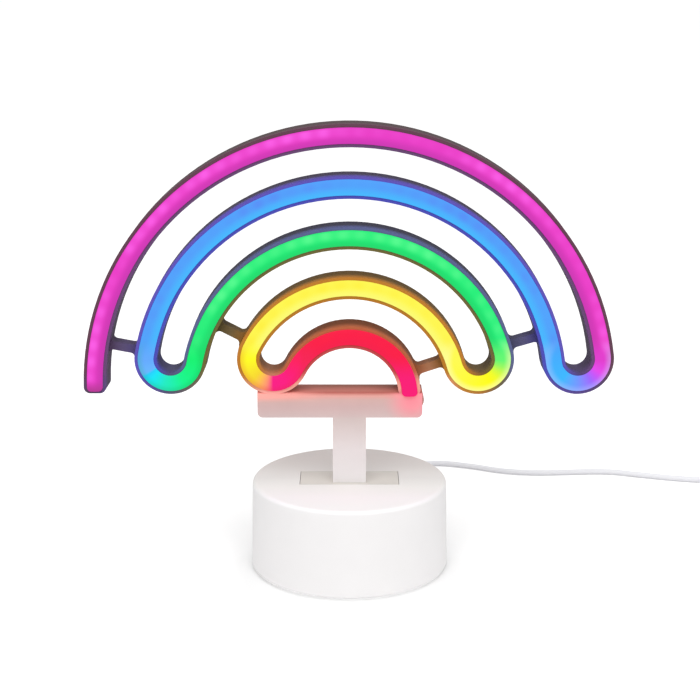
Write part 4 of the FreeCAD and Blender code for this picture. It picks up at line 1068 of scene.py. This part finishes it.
@dataclass
class Studio:
    """Camera, floor and light, as in the photograph."""

    camera_place: Point = (0.0003, -0.7109, 0.2974)
    camera_tilt: float = 75.385
    lens: float = 76.11
    sensor: float = 36.0
    view_end: float = 200.0
    floor_size: float = 60.0
    floor_gap: float = 0.1 * MM
    floor_colour: Colour = (0.88, 0.88, 0.88)
    floor_grain: Grain = Grain(roughness=0.8, spread=0.05, scale=40.0, depth=0.01 * MM)
    # Floor glow for the camera by distance from a point in front of the base's axis: lower near the base, a
    # painted shadow.
    floor_glow_painted_shadow: dict[float, float] = field(default_factory=lambda: {
        0.052: 0.06, 0.060: 0.10, 0.072: 0.17, 0.095: 0.27, 0.130: 0.35,
    })
    painted_shadow_shift: float = 20.0 * MM
    # Painted light on the floor under the base, which hides the dark gap below its edge.
    under_base_painted_light: Colour = (0.7, 0.7, 0.7)
    under_reach: Pair = (0.0498, 0.0480)
    sky: float = 0.75
    key_place: Point = (0.05, -0.95, 1.65)
    key_aim: Point = (0.0, 0.0, 0.1)
    key_size: Pair = (1.6, 1.4)
    key_power: float = 16.5

    def camera(self) -> None:
        """Set the camera where the photograph was taken."""
        camera = bpy.data.objects.new("camera", bpy.data.cameras.new("camera"))
        bpy.context.scene.collection.objects.link(camera)
        camera.location = self.camera_place
        camera.rotation_euler = (math.radians(self.camera_tilt), 0.0, 0.0)
        camera.data.lens = self.lens
        camera.data.sensor_width = self.sensor
        camera.data.clip_end = self.view_end
        bpy.context.scene.camera = camera

    def floor_material(self) -> Material:
        """White floor with a painted shadow round the base and painted light under its edge, that can be
        looked through from below.

        Returns:
            The material.
        """
        material, sheet, shader = new_material("floor_white")
        self.floor_grain.apply(sheet, shader)
        sheet.feed(shader.inputs["Base Color"], self.floor_colour)
        shader.inputs["Specular IOR Level"].default_value = 0.0
        x, y, _ = sheet.spot()
        away = sheet.length(x, sheet.math("ADD", y, self.painted_shadow_shift))
        # Painted shadow round the base, and painted light under it.
        shade = sheet.along(away, {reach: (level,) * 3 for reach, level in self.floor_glow_painted_shadow.items()})
        under = sheet.step(sheet.length(x, y), *self.under_reach)
        sheet.feed(shader.inputs["Emission Color"], sheet.mix(under, shade, self.under_base_painted_light))
        seen = sheet.add("ShaderNodeLightPath").outputs["Is Camera Ray"]
        sheet.feed(shader.inputs["Emission Strength"], seen)
        end = shader.outputs[0].links[0].to_socket
        either = sheet.add("ShaderNodeMixShader")
        below = sheet.add("ShaderNodeNewGeometry").outputs["Backfacing"]
        clear = sheet.add("ShaderNodeBsdfTransparent").outputs[0]
        for socket, value in zip(either.inputs, (below, shader.outputs[0], clear)):
            sheet.feed(socket, value)
        sheet.feed(end, either.outputs[0])
        return material

    def floor(self, workshop: Workshop) -> None:
        """Lay the floor, which reaches beyond the picture.

        Args:
            workshop: Workshop that leaves nothing else selected.
        """
        workshop.select()
        bpy.ops.mesh.primitive_plane_add(size=self.floor_size, location=(0.0, 0.0, -self.floor_gap))
        floor = bpy.context.object
        floor.name = "floor"
        floor.data.materials.append(self.floor_material())

    def lights(self) -> None:
        """Soft sky, which is white to the camera, and one large soft box at the front."""
        world = bpy.data.worlds.new("soft_sky")
        bpy.context.scene.world = world
        world.use_nodes = True
        sheet = NodeSheet(world.node_tree)
        sky = world.node_tree.nodes["Background"]
        sky.inputs["Color"].default_value = (1.0, 1.0, 1.0, 1.0)
        seen = sheet.add("ShaderNodeLightPath").outputs["Is Camera Ray"]
        sheet.feed(sky.inputs["Strength"], sheet.math("MULTIPLY_ADD", seen, 1.0 - self.sky, self.sky))
        lamp = bpy.data.lights.new("soft_box", "AREA")
        lamp.shape = "RECTANGLE"
        lamp.size, lamp.size_y = self.key_size
        lamp.energy = self.key_power
        key = bpy.data.objects.new("soft_box", lamp)
        bpy.context.scene.collection.objects.link(key)
        key.location = self.key_place
        aim = Vector(self.key_aim) - Vector(self.key_place)
        key.rotation_euler = aim.to_track_quat("-Z", "Y").to_euler()

    def colours(self) -> None:
        """Plain display colours, so that the lit strips stay saturated."""
        bpy.context.scene.view_settings.view_transform = "Standard"


@dataclass
class Lead:
    """Supply lead: its route over the table, the coil, the strap, the sleeve and the plug."""

    diameter: float = 3.2 * MM
    exit_point: Point = (0.0, 0.070, 0.013)
    length: float = 1.27
    curve_order: int = 3
    curve_steps: int = 6
    round_steps: int = 5
    coil_x: float = 240.0 * MM
    coil_y: float = 92.0 * MM
    coil_level: float = 2.6 * MM
    coil_outer: float = 26.6 * MM
    coil_turns: int = 4
    turn_pitch: float = 3.7 * MM
    layer_pitch: float = 3.7 * MM
    reverse_step: float = 0.9 * MM
    points_per_turn: int = 16
    grip_inset: float = 0.8 * MM
    grip_round: float = 2.0 * MM
    grip_segments: int = 4
    ridge_count: int = 5
    ridge_long: float = 1.4 * MM
    ridge_pitch: float = 2.6 * MM
    ridge_end: float = 2.2 * MM
    ridge_round: float = 0.5 * MM
    ridge_segments: int = 3
    strap_wall: float = 0.8 * MM
    strap_round: float = 0.35 * MM
    strap_segments: int = 2
    sleeve_wall: float = 50.1 * MM
    sleeve_flange: float = 1.6 * MM
    sleeve_neck: float = 2.9 * MM
    sleeve_root: float = 3.6 * MM
    sleeve_tip: float = 2.3 * MM
    sleeve_groove: float = 0.3 * MM
    sleeve_rings: int = 5
    sleeve_round: float = 0.12 * MM
    sleeve_segments: int = 2
    route_mm: tuple[Point, ...] = (
        (0, 70, 13), (0, 79.6, 13), (1.5, 93, 10.5), (6, 107, 6.2), (14, 121, 3.0), (26, 134, 1.6),
        (39, 144.5, 1.6), (53.4, 150.2, 1.6), (73.7, 143.7, 1.6), (91.1, 134.4, 1.6), (108.8, 130.8, 1.6),
        (127, 131.7, 1.6), (154.4, 134.4, 1.6), (174.1, 127.2, 1.6), (196.6, 120.1, 1.6), (213, 118, 1.6),
        (227.2, 118.6, 2.6),
    )
    to_plug_mm: tuple[Point, ...] = (
        (12.5, 24.8, 6.3), (22.5, 17.4, 6.3), (31.2, 8.4, 5.7), (35.8, -0.6, 4.6), (36, -7.2, 4.2),
        (36, -11.2, 4.2),
    )

    def coil_reach(self, turned: float) -> float:
        """Radius of the coil after some turns: in on the lower layer, out on the upper one.

        Args:
            turned: Turns since the coil's start.

        Returns:
            The radius in metres.
        """
        turns, pitch = self.coil_turns, self.turn_pitch
        inner = self.coil_outer - turns * pitch - self.reverse_step
        outward = inner + self.reverse_step + 0.5 * pitch
        knots = (
            (0.0, self.coil_outer), (turns - 0.5, self.coil_outer - (turns - 0.5) * pitch), (turns, inner),
            (turns + 0.5, inner), (turns + 1.0, outward), (2.0 * turns, outward + (turns - 1.0) * pitch),
        )
        for (start, first), (end, last) in zip(knots, knots[1:]):
            if turned <= end:
                break
        return first + (last - first) * (turned - start) / (end - start)

    def coil_points(self) -> list[Point]:
        """Control points of the coil, a little outside it, because the curve runs inside its points.

        Returns:
            The points in metres.
        """
        swell = 4 / (3 + math.cos(2 * math.pi / self.points_per_turn))
        points = []
        for number in range(2 * self.coil_turns * self.points_per_turn + 1):
            turned = number / self.points_per_turn
            climb = min(max(2 * (turned - self.coil_turns), 0.0), 1.0)
            lift = self.layer_pitch * climb * climb * (3 - 2 * climb)
            angle = math.pi / 2 - turned * 2 * math.pi
            reach = swell * self.coil_reach(turned)
            x, y = self.coil_x + reach * math.cos(angle), self.coil_y + reach * math.sin(angle)
            points.append((x, y, self.coil_level + lift))
        return points

    def points(self) -> list[Point]:
        """All control points from the base to the plug.

        Returns:
            The points in metres.
        """
        route = [tuple(part * MM for part in point) for point in self.route_mm]
        tail = [(self.coil_x + x * MM, self.coil_y + y * MM, z * MM) for x, y, z in self.to_plug_mm]
        return route + self.coil_points() + tail

    def make_cord(self, workshop: Workshop, sheath: Material) -> Piece:
        """Lay the lead as one smooth curve.

        Args:
            workshop: Workshop that ties it to the frame.
            sheath: Material of the sheath.

        Returns:
            The curve object.
        """
        curve = bpy.data.curves.new("lead", "CURVE")
        curve.dimensions = "3D"
        curve.bevel_depth = self.diameter / 2
        curve.bevel_resolution = self.round_steps
        curve.use_fill_caps = True
        points = self.points()
        spline = curve.splines.new("NURBS")
        spline.points.add(len(points) - 1)
        for control, point in zip(spline.points, points):
            control.co = (*point, 1.0)
        spline.order_u = self.curve_order
        spline.use_endpoint_u = True
        spline.resolution_u = self.curve_steps
        cord = bpy.data.objects.new("lead", curve)
        bpy.context.scene.collection.objects.link(cord)
        return workshop.finish(cord, sheath, Slot.CORD, Body.LIGHT, "cord_lead", "cord_coil")

    def make_grip(self, workshop: Workshop, sheath: Material) -> Piece:
        """Plug grip with rounded edges and finger ridges on both sides.

        Args:
            workshop: Workshop that models it.
            sheath: Material of the grip.

        Returns:
            The grip.
        """
        low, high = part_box("plug_grip")
        inset = Vector((self.grip_inset, 0, 0))
        grip = workshop.block("plug_grip_moulded", low + inset, high - inset)
        workshop.soften(grip, self.grip_round, self.grip_segments)
        middle = (low.y + high.y) / 2
        near, far = middle - self.ridge_long / 2, middle + self.ridge_long / 2
        bottom, top = low.z + self.ridge_end, high.z - self.ridge_end
        places = [number - (self.ridge_count - 1) / 2 for number in range(self.ridge_count)]
        shifts = [(0.0, place * self.ridge_pitch, 0.0) for place in places]
        ridges = []
        for left in (low.x, high.x - 2 * self.grip_inset):
            right = left + 2 * self.grip_inset
            ridge = workshop.block("ridge", (left, near, bottom), (right, far, top))
            workshop.soften(ridge, self.ridge_round, self.ridge_segments)
            ridges.append(workshop.copies(ridge, shifts, "ridges"))
        workshop.join(grip, *ridges)
        return workshop.finish(grip, sheath, Slot.CORD, Body.LIGHT, "plug_grip")

    def make_strap(self, workshop: Workshop, sheath: Material) -> Piece:
        """Soft strap round the coil: a rounded loop, open in the middle.

        Args:
            workshop: Workshop that models it.
            sheath: Material of the strap.

        Returns:
            The strap.
        """
        strap = workshop.block("cord_tie_strap", *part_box("cord_tie"))
        workshop.open_faces(strap, (1, 0, 0), (-1, 0, 0))
        bpy.ops.mesh.inset(thickness=self.strap_wall)
        bpy.ops.mesh.bridge_edge_loops()
        workshop.leave()
        workshop.soften(strap, self.strap_round, self.strap_segments)
        return workshop.finish(strap, sheath, Slot.CORD, Body.LIGHT, "cord_tie")

    def sleeve_profile(self, flange: float, seat: float, tip: float) -> list[Pair]:
        """Rings of the sleeve after its inner flange: neck, outer flange, and grooves and ribs in turn.

        Args:
            flange: Radius of both flanges.
            seat: Where the inner flange ends, along y.
            tip: Where the sleeve ends, along y.

        Returns:
            Radius and y of each ring.
        """
        wall = self.sleeve_wall
        outside = wall + self.sleeve_flange
        rings = [(self.sleeve_neck, seat), (self.sleeve_neck, wall), (flange, wall), (flange, outside)]
        count = 2 * self.sleeve_rings
        step = (tip - outside) / count
        for number in range(count):
            radius = self.sleeve_root + (self.sleeve_tip - self.sleeve_root) * number / (count - 1)
            if number % 2 == 0:
                radius -= self.sleeve_groove
            rings += [(radius, outside + number * step), (radius, outside + (number + 1) * step)]
        return rings

    def make_sleeve(self, workshop: Workshop, sheath: Material) -> Piece:
        """Ribbed, tapered sleeve where the lead leaves the base, drawn out ring by ring.

        Args:
            workshop: Workshop that models it.
            sheath: Material of the sleeve.

        Returns:
            The sleeve.
        """
        low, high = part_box("strain_relief")
        level = (low.z + high.z) / 2
        flange, seat = (high.z - low.z) / 2, low.y + self.sleeve_flange
        middle = (0, (low.y + seat) / 2, level)
        sleeve = workshop.drum("lead_sleeve", flange, seat - low.y, middle, (math.pi / 2, 0, 0))
        workshop.open_faces(sleeve, (0, 1, 0))
        wide, reached = flange, seat
        for radius, y in self.sleeve_profile(flange, seat, high.y):
            bpy.ops.mesh.extrude_region_move(TRANSFORM_OT_translate={"value": (0, y - reached, 0)})
            bpy.ops.transform.resize(value=(radius / wide, 1, radius / wide), center_override=(0, y, level))
            wide, reached = radius, y
        workshop.leave()
        workshop.soften(sleeve, self.sleeve_round, self.sleeve_segments)
        return workshop.finish(sleeve, sheath, Slot.CORD, Body.LIGHT, "strain_relief")

    def build(self, workshop: Workshop) -> None:
        """Make the lead and all that is on it.

        Args:
            workshop: Workshop that models and dresses.
        """
        sheath = MouldedFinish(
            "lead_sheath", linear(242, 242, 245), linear(235, 235, 240),
            Grain(roughness=0.46, scale=3000.0, depth=0.02 * MM), specular=0.2,
        ).material()
        cord = self.make_cord(workshop, sheath)
        grip = self.make_grip(workshop, sheath)
        strap = self.make_strap(workshop, sheath)
        self.make_sleeve(workshop, sheath)
        workshop.dress(sheath, "cord_tail", "cord_clamp")
        shell = MetalFinish("plug_plating", linear(206, 206, 210), linear(168, 168, 174), roughness=0.24)
        tongue = MouldedFinish("tongue", linear(232, 232, 230), linear(214, 214, 214))
        workshop.dress_each((shell, ("plug_shell",)), (tongue, ("plug_tongue",)))


@dataclass
class LightLine:
    """Diffusers in their colours, and the strips and lamps behind them."""

    line: RainbowLine = RainbowLine()

    @staticmethod
    def arcs() -> list[GlowFinish]:
        """Finishes of the five lengths.

        Returns:
            The finishes, from the outermost arc in.
        """
        return [
            GlowFinish(
                Arc.VIOLET, main=linear(233, 58, 197), bright=linear(255, 96, 236), dark=linear(200, 54, 176),
                spot_share=0.9, end=EndGlow(linear(186, 56, 152), side=-1, high=99.5 * MM, low=93.0 * MM),
            ),
            GlowFinish(
                Arc.BLUE, main=linear(80, 164, 252), bright=linear(88, 138, 246), dark=linear(68, 188, 254),
                spot_share=0.8,
            ),
            GlowFinish(
                Arc.GREEN, main=linear(26, 238, 120), bright=linear(96, 255, 150), dark=linear(32, 214, 106),
                spot_share=0.75,
            ),
            GlowFinish(
                Arc.YELLOW, main=linear(254, 248, 84), bright=linear(255, 238, 58),
                dark=linear(252, 251, 122), spot_share=0.8,
            ),
            GlowFinish(
                Arc.RED, main=linear(251, 25, 71), bright=linear(255, 34, 68), dark=linear(245, 28, 75),
                spot_share=0.5, end=EndGlow(linear(250, 26, 118), side=1, high=112.0 * MM, low=98.0 * MM),
            ),
        ]

    @staticmethod
    def turns() -> list[TurnGlow]:
        """Colours round the four turns, each from its outer arc to the inner one.

        Returns:
            The turns, from the outermost in.
        """
        return [
            TurnGlow(Arc.VIOLET, {
                0.0: linear(226, 60, 206), 0.16: linear(230, 74, 236), 0.25: linear(194, 88, 250),
                0.33: linear(158, 106, 254), 0.5: linear(116, 150, 255), 0.72: linear(60, 184, 255),
                1.0: linear(66, 174, 254),
            }, rim=linear(190, 206, 255)),
            TurnGlow(Arc.BLUE, {
                0.0: linear(100, 170, 254), 0.155: linear(104, 182, 255), 0.185: linear(36, 206, 254),
                0.25: linear(20, 230, 248), 0.42: linear(30, 236, 196), 0.67: linear(18, 246, 140),
                1.0: linear(16, 242, 114),
            }, rim=linear(10, 170, 80)),
            TurnGlow(Arc.GREEN, {
                0.0: linear(100, 248, 114), 0.083: linear(150, 248, 96), 0.167: linear(206, 250, 68),
                0.25: linear(240, 252, 40), 0.34: linear(255, 252, 18), 0.5: linear(255, 252, 42),
                1.0: linear(254, 250, 80),
            }, rim=linear(255, 255, 190), rim_share=0.45),
            TurnGlow(Arc.YELLOW, {
                0.0: linear(255, 252, 34), 0.25: linear(248, 216, 46), 0.33: linear(255, 192, 82),
                0.42: linear(255, 150, 114), 0.5: linear(250, 26, 134), 0.67: linear(252, 24, 130),
                1.0: linear(254, 28, 94),
            }, rim=linear(226, 40, 50)),
        ]

    def build(self, workshop: Workshop) -> None:
        """Dress the lit strips and what is behind them.

        Args:
            workshop: Workshop that dresses the nodes.
        """
        turns = self.turns()
        for glow in self.arcs():
            workshop.dress(glow.material(self.line, turns), f"diffuser_{glow.arc.word}")
        strips = tuple(f"led_strip_{arc.word}" for arc in Arc)
        lamps = tuple(f"leds_{arc.word}" for arc in Arc)
        backing = MouldedFinish("strip_backing", linear(240, 240, 232), linear(222, 222, 214))
        chip_grain = Grain(roughness=0.25)
        chip = MouldedFinish("lamp_chip", linear(248, 236, 170), linear(240, 220, 140), chip_grain)
        link = MouldedFinish("link_sleeve", linear(226, 226, 220), linear(206, 206, 200))
        workshop.dress_each((backing, strips), (chip, lamps), (link, ("strip_links",)))


@dataclass
class Sign:
    """Sign moulding, its back cover, and the wires inside the stand."""

    line: RainbowLine = RainbowLine()
    wire_grain: Grain = Grain(roughness=0.4)

    def build(self, workshop: Workshop, screw: Material) -> None:
        """Dress the moulding and what goes with it.

        Args:
            workshop: Workshop that dresses the nodes.
            screw: Material of the screws.
        """
        workshop.dress(SignFinish().material(self.line), "sign_housing", "stand_back_cover")
        workshop.dress(screw, "cover_screws", "foot_screws")
        red = MouldedFinish("wire_red", linear(190, 30, 28), linear(160, 22, 22), self.wire_grain)
        black = MouldedFinish("wire_black", linear(34, 34, 36), linear(22, 22, 24), self.wire_grain)
        workshop.dress_each((red, ("feed_wire_positive",)), (black, ("feed_wire_negative", "supply_wires")))


@dataclass
class Base:
    """Round base with its battery door, feet, switch and board."""

    foot_radius: float = 5.0 * MM
    foot_round: float = 0.3 * MM
    sole_inset: float = 1.2 * MM
    sole_dish: float = 0.25 * MM
    ridge_count: int = 5
    ridge_first: float = 4.0 * MM
    ridge_pitch: float = 2.4 * MM
    ridge_long: float = 15.0 * MM
    ridge_high: float = 0.35 * MM
    ridge_round: float = 0.25 * MM
    round_segments: int = 2

    def make_feet(self, workshop: Workshop) -> Piece:
        """Soft round feet with a rounded rim and a dished sole.

        Args:
            workshop: Workshop that models them.

        Returns:
            The four feet, as one piece.
        """
        rubber = MouldedFinish(
            "foot_rubber", linear(176, 176, 176), linear(150, 150, 152),
            Grain(roughness=0.7, spread=0.1, scale=1500.0, depth=0.06 * MM),
        ).material()
        low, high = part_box("rubber_feet")
        foot = workshop.drum("foot", self.foot_radius, high.z - low.z, (0, 0, (high.z + low.z) / 2))
        workshop.open_faces(foot, (0, 0, -1))
        bpy.ops.mesh.inset(thickness=self.sole_inset)
        bpy.ops.transform.translate(value=(0, 0, self.sole_dish))
        workshop.leave()
        workshop.soften(foot, self.foot_round, self.round_segments)
        right, left = high.x - self.foot_radius, low.x + self.foot_radius
        back, front = high.y - self.foot_radius, low.y + self.foot_radius
        shifts = [(right, 0, 0), (left, 0, 0), (0, back, 0), (0, front, 0)]
        feet = workshop.copies(foot, shifts, "feet_moulded")
        return workshop.finish(feet, rubber, Slot.FEET, Body.LIGHT, "rubber_feet")

    def make_door_ridges(self, workshop: Workshop, plastic: Material) -> Piece:
        """Grip ridges by the door's free edge.

        Args:
            workshop: Workshop that models them.
            plastic: Material of the door.

        Returns:
            The ridges, as one piece.
        """
        low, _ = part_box("battery_door")
        side, first = self.ridge_long / 2, low.y + self.ridge_first
        ridge = workshop.block(
            "ridge", (-side, first, low.z - self.ridge_high),
            (side, first + self.ridge_pitch / 2, low.z + self.ridge_high),
        )
        workshop.soften(ridge, self.ridge_round, self.round_segments)
        shifts = [(0.0, number * self.ridge_pitch, 0.0) for number in range(self.ridge_count)]
        ridges = workshop.copies(ridge, shifts, "door_ridges")
        return workshop.finish(ridges, plastic, Slot.BASE, Body.DOOR)

    def build(self, workshop: Workshop, screw: Material) -> None:
        """Dress the base and make its small pieces.

        Args:
            workshop: Workshop that dresses and models.
            screw: Material of the screws.
        """
        white = BaseFinish(
            "base_white", linear(244, 242, 242), linear(240, 238, 238), Grain(roughness=0.44, spread=0.08)
        ).material()
        workshop.dress(white, "base_shell", "base_bottom", "battery_door")
        workshop.dress(screw, "base_screws", "board_screws", "clamp_screws")
        contact = MetalFinish("contact_plating", linear(214, 212, 206), linear(178, 176, 170), roughness=0.28)
        mask_grain = Grain(roughness=0.35, spread=0.1, scale=900.0)
        board = MouldedFinish("board_mask", linear(24, 110, 60), linear(18, 86, 46), mask_grain)
        black = MouldedFinish("part_black", linear(40, 40, 42), linear(26, 26, 28), Grain(roughness=0.5))
        grey = MouldedFinish("knob_grey", linear(214, 214, 214), linear(196, 196, 198), Grain(roughness=0.45))
        workshop.dress_each(
            (contact, ("battery_springs", "battery_plates")), (board, ("control_board",)),
            (black, ("board_parts", "switch_body")), (grey, ("switch_knob",)),
        )
        self.make_feet(workshop)
        self.make_door_ridges(workshop, white)


def main() -> None:
    """Build the camera and the lead first, then dress every piece."""
    logging.basicConfig(level=logging.INFO, format="%(message)s")
    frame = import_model()
    workshop = Workshop(frame)
    SharedEffects().build()
    studio = Studio()
    studio.camera()
    Lead().build(workshop)
    zinc = MetalFinish("screw_zinc", linear(186, 186, 190), linear(140, 140, 146), roughness=0.34)
    screw = zinc.material()
    Sign().build(workshop, screw)
    LightLine().build(workshop)
    Base().build(workshop, screw)
    studio.floor(workshop)
    studio.lights()
    studio.colours()
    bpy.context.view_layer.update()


if __name__ == "__main__":
    main()
